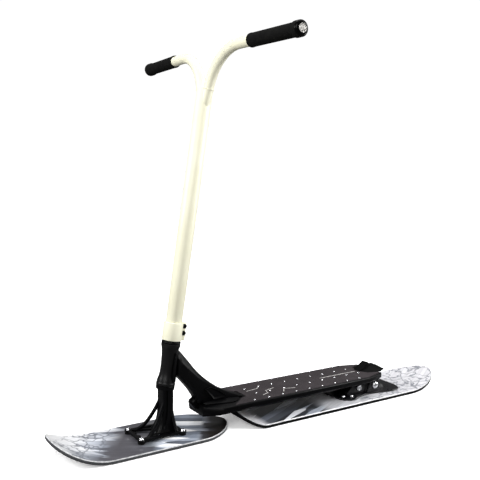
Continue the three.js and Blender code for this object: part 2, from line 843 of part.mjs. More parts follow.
function forkBase() {
  const pieces = [
    box(-columnBack - hubHalfLength, -columnBack + hubHalfLength, -hubHalfWidth, hubHalfWidth, baseBottom, baseTop),
    rail([frontFootReach, -footHalfTrack], [frontFootReach, footHalfTrack]),
    rail([-rearFootReach, -footHalfTrack], [-rearFootReach, footHalfTrack]),
  ];
  for (const { sign } of sides) {
    const hubCorner = [-columnBack + hubHalfLength - railHalfWidth, (sign * hubHalfWidth) / 2];
    pieces.push(rail([-rearFootReach, sign * footHalfTrack], [frontFootReach, sign * footHalfTrack]));
    pieces.push(rail([frontFootReach, sign * footHalfTrack], hubCorner));
    const knob = disc(crossbarKnobRadius, baseBottom, baseTop, 12);
    pieces.push(knob.translate(frontFootReach - railHalfWidth, sign * crossbarKnobOffset, 0));
  }
  for (const { x, y } of feet) {
    pieces.push(disc(bossRadius, baseBottom, baseTop, 16).translate(x, y, 0));
  }
  const holes = feet.map(({ x, y }) =>
    holeAt(x, y, footBoltRadius + screwClearance, baseBottom - cutOverrun, baseTop + cutOverrun));
  return cut(join(...pieces), ...holes);
}

add(scooter, "fork_base", forkBase(), "blackPaint");

// A domed screw: its shank from one height up to its head.
function domedScrew(shankRadius, headRadius, headHeight, shankBottom, headBottom, segments = 12) {
  return turned([
    [0, shankBottom],
    [shankRadius, shankBottom],
    [shankRadius, headBottom],
    [headRadius, headBottom],
    [headRadius, headBottom + headHeight / 2],
    [headRadius * domeTopShare, headBottom + headHeight],
    [0, headBottom + headHeight],
  ], segments);
}

for (const { name, x, y } of feet) {
  const pad = sleeve(footBoltRadius + screwClearance, footPadRadius, frontBoardThickness, baseBottom, 16);
  const insertBottom = frontBoardThickness - insertDepth + screwClearance;
  const bolt = domedScrew(footBoltRadius, footHeadRadius, footHeadHeight, insertBottom, baseTop);
  add(scooter, `${name}_foot_pad`, pad.translate(x, y, 0), "padRubber");
  add(scooter, `${name}_foot_bolt`, bolt.translate(x, y, 0), "steel");
}

// Boards

// How far a board's end has risen at a distance past the place where the rise starts.
function riseAt(distance, radius) {
  const run = Math.min(Math.max(distance, 0), radius * Math.sin(steepestRise));
  return radius - Math.sqrt(radius * radius - run * run);
}

// The radius of a rise that takes the top of a board's tip up to a height over a run.
function radiusUnder(height, run, thickness) {
  let lift = height - thickness;
  const rounds = 40;
  for (let i = 0; i < rounds; i++) {
    const slopeCosine = (run * run - lift * lift) / (run * run + lift * lift);
    lift = (lift + height - thickness / slopeCosine) / 2;
  }
  return (run * run + lift * lift) / (2 * lift);
}

// Both ends of a board narrow in a round outline and rise from the ground.
function board({ thickness, halfWidth, nose, tail }) {
  const endWidth = ({ tip, round, roundness }, x) => {
    const along = 1 - Math.min(Math.abs(tip - x) / round, 1);
    return halfWidth * Math.pow(1 - Math.pow(along, roundness), 1 / roundness);
  };
  const places = [];
  const steps = 14;
  for (let i = 0; i <= steps; i++) {
    const along = Math.sin((ringSweep * i) / steps);
    for (const end of [nose, tail]) {
      const inward = Math.sign(nose.tip - tail.tip) * (end === nose ? -1 : 1);
      places.push(end.tip + inward * end.round * (1 - along));
      places.push(end.tip + inward * end.rise * (1 - i / steps));
    }
  }
  const ordered = places.sort((a, b) => a - b);
  const distinct = ordered.filter((x, i) => i === 0 || x - ordered[i - 1] > closestRings);
  const rings = distinct.map((x) => {
    const width = Math.min(endWidth(nose, x), endWidth(tail, x));
    const noseRun = x - (nose.tip - nose.rise);
    const tailRun = tail.tip + tail.rise - x;
    const bottom = riseAt(noseRun, nose.riseRadius) + riseAt(tailRun, tail.riseRadius);
    const run = noseRun > 0 ? noseRun / nose.riseRadius : Math.max(tailRun, 0) / tail.riseRadius;
    const top = bottom + thickness / Math.sqrt(1 - run * run);
    return [
      new THREE.Vector3(x, -width, bottom),
      new THREE.Vector3(x, width, bottom),
      new THREE.Vector3(x, width, top),
      new THREE.Vector3(x, -width, top),
    ];
  });
  return loft(rings);
}

const frontBoard = board({
  thickness: frontBoardThickness,
  halfWidth: frontBoardHalfWidth,
  nose: {
    tip: frontNoseTip,
    round: frontNoseRound,
    rise: frontNoseRise,
    riseRadius: frontNoseRiseRadius,
    roundness: noseRoundness,
  },
  tail: {
    tip: frontTailTip,
    round: frontTailRound,
    rise: frontTailRise,
    riseRadius: frontTailRiseRadius,
    roundness: innerRoundness,
  },
});
const frontInserts = feet.map(({ x, y }) => holeAt(x, y, footBoltRadius + screwClearance,
  frontBoardThickness - insertDepth, frontBoardThickness + cutOverrun));
add(scooter, "front_board", cut(frontBoard, ...frontInserts), "board");

const rearBoard = board({
  thickness: rearBoardThickness,
  halfWidth: rearBoardHalfWidth,
  nose: {
    tip: rearNoseTip,
    round: rearNoseRound,
    rise: rearNoseRise,
    riseRadius: radiusUnder(deckBottom - noseUnderDeckGap, rearNoseRise, rearBoardThickness),
    roundness: innerRoundness,
  },
  tail: {
    tip: rearTailTip,
    round: rearTailRound,
    rise: rearTailRise,
    riseRadius: rearTailRiseRadius,
    roundness: tailRoundness,
  },
});
const plateScrews = sides.flatMap(({ name, sign }) => plateBolts.map((bolt) => ({
  name: `${name}_${bolt.name}_bracket_screw`,
  x: plateFront - bolt.back,
  y: sign * bolt.across,
})));
const rearInserts = plateScrews.map(({ x, y }) => holeAt(x, y, plateBoltRadius + screwClearance,
  rearBoardThickness - insertDepth, rearBoardThickness + cutOverrun));
add(scooter, "rear_board", cut(rearBoard, ...rearInserts), "board");

// Deck, neck and shoulders

function deckBody() {
  const outlineWith = (inset) => outline([
    [deckFront, -(deckHalfWidth - deckCornerInset - inset)],
    [deckFront, deckHalfWidth - deckCornerInset - inset],
    [deckFront - deckCornerCut, deckHalfWidth - inset],
    [deckRear + deckRearTaper, deckHalfWidth - inset],
    [deckRear, deckRearHalfWidth - inset],
    [deckRear, -(deckRearHalfWidth - inset)],
    [deckRear + deckRearTaper, -(deckHalfWidth - inset)],
    [deckFront - deckCornerCut, -(deckHalfWidth - inset)],
  ]);
  const ring = (inset, height) =>
    outlineWith(inset).getPoints().map(({ x, y }) => new THREE.Vector3(x, y, height));
  const solid = loft([
    ring(deckBottomBevel, deckBottom),
    ring(0, deckBottom + deckBottomBevel),
    ring(0, deckTop - deckEdgeBevel),
    ring(deckEdgeBevel, deckTop),
  ]);
  const stopHole = holeAt(stopBoltPlace, 0, stopBoltRadius + screwClearance,
    deckTop - stopBoltDepth, deckTop + cutOverrun);
  const outerFace = deckRearHalfWidth - deckWall;
  const cells = [
    [-outerFace, -deckCellHalfWidth - deckWall],
    [-deckCellHalfWidth, deckCellHalfWidth],
    [deckCellHalfWidth + deckWall, outerFace],
  ].map(([from, to]) => box(deckRear - cutOverrun, deckFront - deckCellEnd, from, to,
    deckBottom + deckWall, deckTop - deckWall));
  return cut(solid, stopHole, ...cells);
}

add(scooter, "deck", deckBody(), "blackPaint");

function neckBody() {
  const place = ([along, up]) => [neckFront - along * neckLength, deckTop + up * neckHeight];
  const rings = neckStationShares.map((station) => {
    const top = place(station.top);
    const bottom = place(station.bottom);
    const depth = Math.hypot(top[0] - bottom[0], top[1] - bottom[1]);
    const bevelShare = Math.min(neckBevel / depth, 1 / 2);
    const bevelled = top.map((value, i) => value + (bottom[i] - value) * bevelShare);
    const at = ([x, z], y) => new THREE.Vector3(x, y, z);
    return [
      at(bottom, neckHalfWidth),
      at(bottom, -neckHalfWidth),
      at(bevelled, -neckHalfWidth),
      at(top, -neckTopHalfWidth),
      at(top, neckTopHalfWidth),
      at(bevelled, neckHalfWidth),
    ];
  });
  const noseBottom = deckBottom + deckBottomBevel;
  const noseOutline = noseShares.map(([ahead, up]) => [deckFront + ahead * noseReach, noseBottom + up * noseHeight]);
  const nose = sidePlate(outline(noseOutline), -noseHalfWidth, noseHalfWidth);
  const room = turned([[0, headTubeBottom - seatGap], ...headTubeOutline(seatGap), [0, headTubeTop + seatGap]], 32)
    .rotateY(-steeringLean);
  return cut(join(loft(rings), nose), room);
}

add(scooter, "neck", neckBody(), "blackPaint");

function shoulder(side) {
  const inner = neckHalfWidth + seatGap;
  const outer = deckHalfWidth - shoulderInset;
  return new ConvexGeometry(shoulderShares.map(([back, out, up]) => new THREE.Vector3(
    deckFront - shoulderSetback - back * shoulderLength,
    side * (inner + out * (outer - inner)),
    deckTop + up * shoulderHeight,
  )));
}

for (const { name, sign } of sides) {
  add(scooter, `${name}_neck_shoulder`, shoulder(sign), "blackPaint");
}

const sheetTop = deckTop + sheetThickness;

function tractionSheet() {
  const inset = deckEdgeBevel + sheetMargin;
  const edge = deckHalfWidth - inset;
  const notchRear = neckFront - neckLength - sheetNotchEnd;
  const half = [
    [notchRear, neckHalfWidth + sheetNeckGap],
    [notchRear + sheetNotchTaper, neckHalfWidth + sheetNeckFlare],
    [deckFront - sheetFrontSetback, edge],
    [deckRear + deckRearTaper, edge],
    [deckRear + inset, deckRearHalfWidth - inset],
  ];
  const mirrored = half.map(([x, y]) => [x, -y]).reverse();
  const stopHole = holeAt(stopBoltPlace, 0, stopBoltRadius + screwClearance,
    deckTop - cutOverrun, sheetTop + cutOverrun);
  const sheet = cut(plate(outline([...half, ...mirrored]), deckTop, sheetTop), stopHole);
  const firstStud = notchRear + firstStudLead;
  const lastStud = deckRear + deckRearTaper + sheetMargin;
  const rows = sides.flatMap(({ sign }) => [
    { across: sign * (deckHalfWidth - outerStudInset), first: firstStud },
    { across: sign * innerStudRow, first: firstStud - studSpacing },
  ]);
  const studs = rows.flatMap(({ across, first }) =>
    Array.from({ length: Math.floor((first - lastStud) / studSpacing) + 1 }, (unused, i) => {
      const stud = turned([
        [0, sheetTop - sheetThickness / 2],
        [studRadius, sheetTop - sheetThickness / 2],
        [studRadius, sheetTop + studHeight / 3],
        [studRadius / 2, sheetTop + studHeight],
        [0, sheetTop + studHeight],
      ], 6);
      return stud.translate(first - i * studSpacing, across, 0);
    }));
  return join(sheet, ...studs);
}

add(scooter, "traction_sheet", tractionSheet(), "sheet");

// Foot stop

function footStop() {
  const crest = sheetTop + stopCrestHeight;
  const ledge = sheetTop + stopBlockHeight;
  const ramp = sidePlate(outline([
    [stopFront, sheetTop],
    [stopBack, sheetTop],
    [stopBack, ledge],
    [stopCrest, crest],
  ]), -stopRampHalfWidth, stopRampHalfWidth);
  const block = new ConvexGeometry(stopBlockShares.flatMap(([back, out, up]) =>
    sides.map(({ sign }) => new THREE.Vector3(
      stopBlockFront - back * stopBlockLength,
      sign * out * stopBlockHalfWidth,
      sheetTop + up * stopBlockHeight,
    ))));
  const headRoom = stopBoltHeadRadius + screwClearance;
  const shankRoom = stopBoltRadius + screwClearance;
  const boltHole = turned([
    [0, sheetTop - cutOverrun],
    [shankRoom, sheetTop - cutOverrun],
    [shankRoom, ledge - stopBoltHeadHeight - screwClearance],
    [headRoom, ledge - screwClearance],
    [headRoom, crest + cutOverrun],
    [0, crest + cutOverrun],
  ], 12).translate(stopBoltPlace, 0, 0);
  return cut(join(ramp, block), boltHole);
}

add(scooter, "foot_stop", footStop(), "blackPaint");
const stopLedge = sheetTop + stopBlockHeight;
add(scooter, "foot_stop_screw", turned([
  [0, deckTop - stopBoltDepth + screwClearance],
  [stopBoltRadius, deckTop - stopBoltDepth + screwClearance],
  [stopBoltRadius, stopLedge - stopBoltHeadHeight],
  [stopBoltHeadRadius, stopLedge],
  [0, stopLedge],
], 12).translate(stopBoltPlace, 0, 0), "blackSteel");

// Rear bracket

const plateBottom = rearBoardThickness;
const plateTop = plateBottom + plateThickness;

function basePlate() {
  const half = plateShares.map(([back, out]) => [plateFront - back * plateLength, out * plateHalfWidth]);
  const mirrored = half.map(([x, y]) => [x, -y]).reverse();
  const holes = plateScrews.map(({ x, y }) =>
    holeAt(x, y, plateBoltRadius + screwClearance, plateBottom - cutOverrun, plateTop + cutOverrun));
  return cut(plate(outline([...half, ...mirrored]), plateBottom, plateTop), ...holes);
}

add(scooter, "bracket_base_plate", basePlate(), "blackPaint");

function crossHole(x, height, radius) {
  const reach = uprightInner + cheekThickness + cutOverrun;
  return alongSide(disc(radius + screwClearance, -reach, reach, 16), 1).translate(x, 0, height);
}

// The upright carries a round cheek, thicker than itself, round the axle.
function upright(side) {
  const height = deckBottom - plateTop;
  const profile = outline(uprightShares.map(([back, up]) =>
    [uprightFront - back * uprightLength, plateTop + up * height]));
  const between = (shape, thickness) => {
    const near = side * uprightInner;
    const far = side * (uprightInner + thickness);
    return sidePlate(shape, Math.min(near, far), Math.max(near, far), 8);
  };
  const cheek = new THREE.Shape();
  const cheekTop = Math.min(axleHeight + cheekRadius, deckBottom);
  cheek.moveTo(axlePlace + cheekBack, plateTop);
  cheek.lineTo(axlePlace + cheekRadius, cheekTop);
  cheek.lineTo(axlePlace - cheekRadius, cheekTop);
  cheek.lineTo(axlePlace - cheekBack, plateTop);
  return cut(join(between(profile, uprightThickness), between(cheek, cheekThickness)),
    crossHole(bracketBoltPlace, bracketBoltHeight, bracketBoltRadius),
    crossHole(axlePlace, axleHeight, axleRadius));
}

for (const { name, sign } of sides) {
  add(scooter, `${name}_bracket_upright`, upright(sign), "blackPaint");
}

const hangerHalfWidth = uprightInner - seatGap;
const hanger = box(hangerRear, hangerFront, -hangerHalfWidth, hangerHalfWidth, hangerBottom, deckBottom);
add(scooter, "deck_hanger", cut(hanger, crossHole(bracketBoltPlace, bracketBoltHeight, bracketBoltRadius),
  crossHole(axlePlace, axleHeight, axleRadius)), "blackPaint");

function hexNut(holeRadius, radius, bottom, top) {
  return cut(disc(radius, bottom, top, 6),
    disc(holeRadius + screwClearance, bottom - cutOverrun, top + cutOverrun, 12));
}

const uprightOuter = uprightInner + uprightThickness + seatGap;
const bracketBoltTail = uprightOuter + bracketNutHeight;
const bracketBolt = turned([
  [0, -bracketBoltTail],
  [bracketNutRadius, -bracketBoltTail],
  [bracketNutRadius, -uprightOuter],
  [bracketBoltRadius, -uprightOuter],
  [bracketBoltRadius, bracketBoltTail],
  [0, bracketBoltTail],
], 12);
const bracketNut = hexNut(bracketBoltRadius, bracketNutRadius, uprightOuter, bracketBoltTail - seatGap);
add(scooter, "front_bracket_bolt",
  alongSide(bracketBolt, 1).translate(bracketBoltPlace, 0, bracketBoltHeight), "steel");
add(scooter, "front_bracket_nut",
  alongSide(bracketNut, 1).translate(bracketBoltPlace, 0, bracketBoltHeight), "steel");

const cheekOuter = uprightInner + cheekThickness + seatGap;
const axleTail = cheekOuter + bracketNutHeight;
const axle = domedScrew(axleRadius, axleHeadRadius, axleHeadHeight, -axleTail, cheekOuter, 16);
const axleNut = hexNut(axleRadius, axleHeadRadius, cheekOuter, axleTail - seatGap);
add(scooter, "rear_axle_bolt", alongSide(axle, 1).translate(axlePlace, 0, axleHeight), "steel");
add(scooter, "rear_axle_nut", alongSide(axleNut, -1).translate(axlePlace, 0, axleHeight), "steel");

for (const { name, x, y } of plateScrews) {
  const shankBottom = rearBoardThickness - insertDepth + screwClearance;
  const screw = domedScrew(plateBoltRadius, plateHeadRadius, plateHeadHeight, shankBottom, plateTop);
  add(scooter, name, screw.translate(x, y, 0), "steel");
}

export default scooter;
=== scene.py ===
"""The looks of the snow scooter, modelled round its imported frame.

A cream handlebar and a black fork steer a short printed board, and a black deck stands on a longer one.
"""

import math

import bmesh
import bpy
from mathutils import Matrix, Vector


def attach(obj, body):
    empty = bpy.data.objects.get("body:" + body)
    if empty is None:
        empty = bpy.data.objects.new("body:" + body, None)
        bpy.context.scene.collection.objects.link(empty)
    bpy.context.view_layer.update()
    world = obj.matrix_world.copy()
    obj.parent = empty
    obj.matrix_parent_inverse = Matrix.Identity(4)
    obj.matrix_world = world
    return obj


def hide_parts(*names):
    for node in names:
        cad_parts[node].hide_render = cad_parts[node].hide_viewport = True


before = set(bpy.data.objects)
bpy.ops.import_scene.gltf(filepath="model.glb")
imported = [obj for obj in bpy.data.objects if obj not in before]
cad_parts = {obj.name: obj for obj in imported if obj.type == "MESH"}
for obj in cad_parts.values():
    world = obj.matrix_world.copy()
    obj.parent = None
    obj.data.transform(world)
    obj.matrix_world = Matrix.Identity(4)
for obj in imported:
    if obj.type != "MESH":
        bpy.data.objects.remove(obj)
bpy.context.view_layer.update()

# Places

MM = 0.001
QUARTER = math.pi / 2
SIDES = (("left", 1), ("right", -1))

LEAN = math.radians(8.3)  # of the steering axis
AXIS_FOOT = 297.5  # where the steering axis meets the ground


def point(x, y, z):
    return Vector((x, y, z)) * MM


def moved(x, y, z):
    return Matrix.Translation(point(x, y, z))


def turned(angle, axis):
    return Matrix.Rotation(angle, 4, axis)


# The fork, boards and deck are modelled level, measured from the foot of the steering axis. Pieces of the
# handlebar and headset are modelled upright, with the steering axis as Z.
level_place = moved(AXIS_FOOT, 0, 0)
steering_place = level_place @ turned(-LEAN, "Y")

# Modelling


def clear_selection():
    if bpy.context.object and bpy.context.object.mode != "OBJECT":
        bpy.ops.object.mode_set(mode="OBJECT")
    bpy.ops.object.select_all(action="DESELECT")


def take(piece):
    clear_selection()
    piece.select_set(True)
    bpy.context.view_layer.objects.active = piece


def open_up(piece):
    """Starts the editing of a piece, with all of it selected."""
    take(piece)
    bpy.ops.object.mode_set(mode="EDIT")
    bpy.ops.mesh.select_all(action="SELECT")


def shut():
    bpy.ops.object.mode_set(mode="OBJECT")


def pull(offset):
    """Extrudes what is selected."""
    bpy.ops.mesh.extrude_region_move(TRANSFORM_OT_translate={"value": offset})


def tidy_shell():
    bpy.ops.mesh.select_all(action="SELECT")
    bpy.ops.mesh.remove_doubles(threshold=0.002 * MM)
    bpy.ops.mesh.normals_make_consistent(inside=False)


def traced(points, closed=True):
    """A line through the points, drawn from one corner and filled where it closes. It stays in edit mode."""
    clear_selection()
    bpy.ops.mesh.primitive_plane_add(size=MM)
    piece = bpy.context.object
    open_up(piece)
    bpy.ops.mesh.select_mode(type="VERT")
    bpy.ops.mesh.select_all(action="SELECT")
    bpy.ops.mesh.merge(type="CENTER")
    bpy.ops.transform.translate(value=points[0])
    for here, there in zip(points, points[1:]):
        bpy.ops.mesh.extrude_vertices_move(TRANSFORM_OT_translate={"value": there - here})
    bpy.ops.mesh.select_all(action="SELECT")
    if closed:
        bpy.ops.mesh.edge_face_add()
    return piece


def spun(profile, segments=64, ring=False):
    """A turned piece about Z from pairs of radius and height. A ring's profile closes on itself."""
    points = [point(radius, 0, height) for radius, height in profile]
    piece = traced(points + points[:1] if ring else points, closed=False)
    bpy.ops.mesh.spin(steps=segments, angle=2 * math.pi, center=(0, 0, 0), axis=(0, 0, 1))
    tidy_shell()
    shut()
    return piece


def rod(sides, radius, height, length):
    """A straight bar about Z, its middle at a height, as the start of a piece or as a tool."""
    clear_selection()
    bpy.ops.mesh.primitive_cylinder_add(
        vertices=sides, radius=radius * MM, depth=length * MM, location=point(0, 0, height))
    return bpy.context.object


def slab(corners, offset):
    """A flat outline pulled out to a solid."""
    piece = traced(corners)
    pull(offset)
    tidy_shell()
    shut()
    return piece


def plate(outline, bottom, top):
    """A flat plate cut to an outline and pulled up to its thickness."""
    return slab([point(x, y, bottom) for x, y in outline], point(0, 0, top - bottom))


def carried(rings):
    """A solid pulled from its first ring through the others, one extrusion for each."""
    piece = traced(rings[0])
    for here, there in zip(rings, rings[1:]):
        pull((0, 0, 0))
        mesh = bmesh.from_edit_mesh(piece.data)
        for corner in [v for v in mesh.verts if v.select]:
            nearest = min(range(len(here)), key=lambda i: (here[i] - corner.co).length_squared)
            corner.co = there[nearest]
        bmesh.update_edit_mesh(piece.data)
    tidy_shell()
    shut()
    return piece


def refined(node):
    """A closed copy of a CAD solid, with its flat faces made whole again, ready for bevels."""
    clear_selection()
    piece = bpy.data.objects.new(node + "_copy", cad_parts[node].data.copy())
    bpy.context.scene.collection.objects.link(piece)
    open_up(piece)
    bpy.ops.mesh.remove_doubles(threshold=0.01 * MM)
    bpy.ops.mesh.dissolve_limited(angle_limit=math.radians(1))
    shut()
    return piece


def pick_faces(piece, wanted):
    """In edit mode, selects the faces that wanted(centre in mm, normal) names."""
    bpy.ops.mesh.select_mode(type="FACE")
    bpy.ops.mesh.select_all(action="DESELECT")
    mesh = bmesh.from_edit_mesh(piece.data)
    for face in mesh.faces:
        face.select = bool(wanted(face.calc_center_median() / MM, face.normal))
    mesh.select_flush_mode()
    bmesh.update_edit_mesh(piece.data)


def in_first_half(at, step):
    """Whether a place lies in the first half of its step round Z, a step being so many degrees."""
    return math.degrees(math.atan2(at.y, at.x)) % step < step / 2


def modified(piece, kind, settings):
    take(piece)
    modifier = piece.modifiers.new(kind.lower(), kind)
    for key, value in settings.items():
        setattr(modifier, key, value)
    bpy.ops.object.modifier_apply(modifier=modifier.name)
    return piece


def bevelled(piece, width, segments=2, angle=35):
    return modified(piece, "BEVEL", {"width": width * MM, "segments": segments, "limit_method": "ANGLE",
                                     "angle_limit": math.radians(angle), "use_clamp_overlap": True})


def cut(piece, tool):
    """Takes a tool's shape out of a piece."""
    modified(piece, "BOOLEAN", {"object": tool, "operation": "DIFFERENCE"})
    bpy.data.objects.remove(tool)
    return piece


def placed(piece, matrix):
    take(piece)
    piece.matrix_world = matrix
    bpy.ops.object.transform_apply(location=True, rotation=True, scale=True)
    return piece


def repeated(first, places):
    """A copy of a piece at each place, each with its own mesh, in place of the first."""
    copies = []
    for matrix in places:
        twin = bpy.data.objects.new(first.name, first.data.copy())
        bpy.context.scene.collection.objects.link(twin)
        copies.append(placed(twin, matrix))
    bpy.data.objects.remove(first)
    return copies


def joined(pieces):
    clear_selection()
    for piece in pieces:
        piece.select_set(True)
    bpy.context.view_layer.objects.active = pieces[0]
    bpy.ops.object.join()
    return bpy.context.object


def fitted(piece, name, body, finish, stands_for=None, smooth=35):
    """Names a finished piece, shades it, gives it its material and lets it ride on its body.

    stands_for is the CAD node that it replaces. A piece without a finish keeps those that it has.
    """
    take(piece)
    piece.name = name
    piece.data.name = name
    bpy.ops.object.shade_smooth_by_angle(angle=math.radians(smooth))
    if finish is not None:
        piece.data.materials.clear()
        piece.data.materials.append(finish)
    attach(piece, body)
    if stands_for:
        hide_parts(stands_for)
    return piece


# Finishes


def linear(code):
    """A colour from an sRGB hex code, in linear light."""
    values = [int(code[i:i + 2], 16) / 255 for i in (1, 3, 5)]
    return tuple(v / 12.92 if v <= 0.04045 else ((v + 0.055) / 1.055) ** 2.4 for v in values) + (1.0,)


def add(owner, kind, settings=None):
    """One node in an owner's tree, with its settings and links.

    A setting is a property or a socket, and its value a number, a colour, another node's output or, for its
    first output, the node itself. A ramp's stops are places with hex codes, or with amounts of white.
    """
    made = owner.node_tree.nodes.new(kind)
    for key, value in (settings or {}).items():
        if isinstance(value, bpy.types.Node):
            value = value.outputs[0]
        if key == "stops":
            elements = made.color_ramp.elements
            while len(elements) < len(value):
                elements.new(0.5)
            for element, (place, shade) in zip(elements, value):
                element.position = place
                element.color = linear(shade) if isinstance(shade, str) else (shade, shade, shade, 1)
        elif isinstance(value, bpy.types.NodeSocket):
            owner.node_tree.links.new(value, made.inputs[key])
        elif isinstance(key, str) and hasattr(made, key):
            setattr(made, key, value)
        else:
            made.inputs[key].default_value = value
    return made


def new_finish(name):
    """A new material, its nodes cleared away."""
    made = bpy.data.materials.new(name)
    made.use_nodes = True
    made.node_tree.nodes.clear()
    return made


def surfaced(made, code, plain, patterns):
    """Gives a finish its surface: its plain values, and the patterns that take their place."""
    surface = add(made, "ShaderNodeBsdfPrincipled", {"Base Color": linear(code), **plain})
    for socket, pattern in patterns.items():
        made.node_tree.links.new(pattern.outputs[0], surface.inputs[socket])
    made.diffuse_color = linear(code)
    add(made, "ShaderNodeOutputMaterial", {"Surface": surface})
    return made


def grained(name, code, plain, grain, bump=None, stretch=None, cloud=None, tones=None, gloss=None):
    """A finish with a fine grain. Its tone or gloss follows a slower cloud, or else the grain itself.

    grain and cloud are each a noise's size in mm and its detail. bump is the grain's strength and its depth
    in mm, and stretch draws it out. tones are a ramp's stops, and gloss the least and the most roughness.
    """
    made = new_finish(name)
    at = add(made, "ShaderNodeTexCoord").outputs["Object"]
    if stretch:
        at = add(made, "ShaderNodeMapping", {"Vector": at, "Scale": stretch}).outputs["Vector"]
    noises = [add(made, "ShaderNodeTexNoise", {"Vector": at, "Scale": 1 / (size * MM), "Detail": detail})
              for size, detail in ((grain, cloud) if cloud else (grain,))]
    patterns = {}
    if bump:
        strength, depth = bump
        patterns["Normal"] = add(made, "ShaderNodeBump", {
            "Height": noises[0], "Strength": strength, "Distance": depth * MM})
    if tones:
        patterns["Base Color"] = add(made, "ShaderNodeValToRGB", {"Fac": noises[-1], "stops": tones})
    if gloss:
        least, most = gloss
        patterns["Roughness"] = add(made, "ShaderNodeMapRange", {
            "Value": noises[-1], "To Min": least, "To Max": most})
    return surfaced(made, code, plain, patterns)


def cream_powder_coat():
    # Cured polyester powder on steel: an even cream, semi-gloss, with a faint orange peel some 2 mm across.
    return grained("cream powder coat", "#efecd3", {"Roughness": 0.35, "IOR": 1.5, "Specular IOR Level": 0.3},
                   grain=(2.2, 2), bump=(0.06, 0.05), cloud=(70, 3),
                   tones=[(0.3, "#edead0"), (0.7, "#f2f0d9")])


def black_powder_coat(name, shine):
    # Black powder on alloy: nearly black, a soft wide highlight, fine texture about 0.8 mm across.
    return grained(name, "#030304", {"Roughness": 0.36, "IOR": 1.5, "Specular IOR Level": shine},
                   grain=(0.8, 3), bump=(0.3, 0.04), cloud=(35, 4), gloss=(0.32, 0.46))


def black_casting():
    # Black anodised aluminium casting, polished before anodising: darker than paint, with crisp bright edges.
    return grained("black anodised casting", "#050508",
                   {"Roughness": 0.25, "IOR": 1.5, "Specular IOR Level": 0.45},
                   grain=(8, 4), bump=(0.3, 0.08), gloss=(0.2, 0.4))


def grip_rubber():
    # Moulded thermoplastic rubber: dull black, a grain of about 0.5 mm that scatters light.
    return grained("moulded grip rubber", "#0d0d0e",
                   {"Roughness": 0.78, "IOR": 1.52, "Specular IOR Level": 0.08},
                   grain=(0.5, 4), bump=(0.5, 0.06), cloud=(12, 5),
                   tones=[(0.35, "#090909"), (0.75, "#131312")])


def gloss_abs():
    # Injection-moulded ABS: black, glossy, with the faint waviness of a moulded face, some 6 mm long.
    return grained("gloss black ABS", "#060606", {"Roughness": 0.22, "IOR": 1.53, "Specular IOR Level": 0.06},
                   grain=(6, 1), bump=(0.15, 0.1))


def moulded_nylon():
    # Glass-filled nylon: matt black with a spark-eroded grain of about 0.6 mm.
    return grained("grained black nylon", "#050505",
                   {"Roughness": 0.6, "IOR": 1.53, "Specular IOR Level": 0.04},
                   grain=(0.6, 3), bump=(0.5, 0.08))


def zinc_steel():
    # Zinc-plated steel: bright, slightly blue, its highlights broken up by fine turning marks 0.4 mm apart.
    return grained("zinc-plated steel", "#d6d7da", {"Metallic": 1.0, "Roughness": 0.22},
                   grain=(0.4, 2), bump=(0.2, 0.03), cloud=(4, 3), gloss=(0.16, 0.34))


def bare_steel():
    # Turned bare steel: a plain grey metal with turning marks 0.6 mm apart.
    return grained("turned bare steel", "#9b9ca0", {"Metallic": 1.0, "Roughness": 0.35},
                   grain=(0.6, 3), bump=(0.25, 0.03))


def cast_zinc():
    # Die-cast zinc, tumbled: a dull mottled grey that changes every 2 mm or so.
    return grained("tumbled cast zinc", "#a8a7a4", {"Metallic": 1.0, "Roughness": 0.45},
                   grain=(2, 3), bump=(0.5, 0.1), tones=[(0.42, "#55534f"), (0.58, "#cfcdc9")])


def black_oxide_steel():
    # Black oxide on a rolled-thread screw: dark metal, half dull, with oil-like cloudiness every 3 mm or so.
    return grained("black oxide steel", "#1b1b1d", {"Metallic": 0.8, "Roughness": 0.4},
                   grain=(3, 4), bump=(0.2, 0.03), gloss=(0.3, 0.55))


def line_ink():
    # Screen-printed white ink on grit: matt, worn through in places some 2.5 mm apart.
    return grained("white line ink", "#b9b7b4", {"Roughness": 0.85, "IOR": 1.5, "Specular IOR Level": 0.2},
                   grain=(2.5, 4), tones=[(0.38, "#5d5a5b"), (0.5, "#b9b7b4"), (0.8, "#d5d3d0")])


def board_sidewall(name, code):
    # Sawn and sanded ABS sidewall: half matt, with long marks from the sanding belt, 0.5 mm apart.
    return grained(name, code, {"Roughness": 0.45, "IOR": 1.53, "Specular IOR Level": 0.12},
                   grain=(0.5, 2), bump=(0.3, 0.05), stretch=(0.08, 0.08, 1))


def painted_edge_highlight():
    # Trimmed top sheet chamfer: pale grey, a painted highlight along the top edge, scuffed every 5 mm or so.
    return grained("trimmed top sheet edge with painted highlight", "#b9bbbd", {"Roughness": 0.3, "IOR": 1.5},
                   grain=(5, 5), tones=[(0.3, "#8f9092"), (0.65, "#c6c7c9")])


def board_base():
    # Sintered polyethylene: black, waxy, with stone-ground lines along the board, 0.8 mm apart.
    return grained("sintered black base", "#0f0f11",
                   {"Roughness": 0.35, "IOR": 1.51, "Specular IOR Level": 0.4},
                   grain=(0.8, 3), bump=(0.3, 0.05), stretch=(0.05, 1, 1))


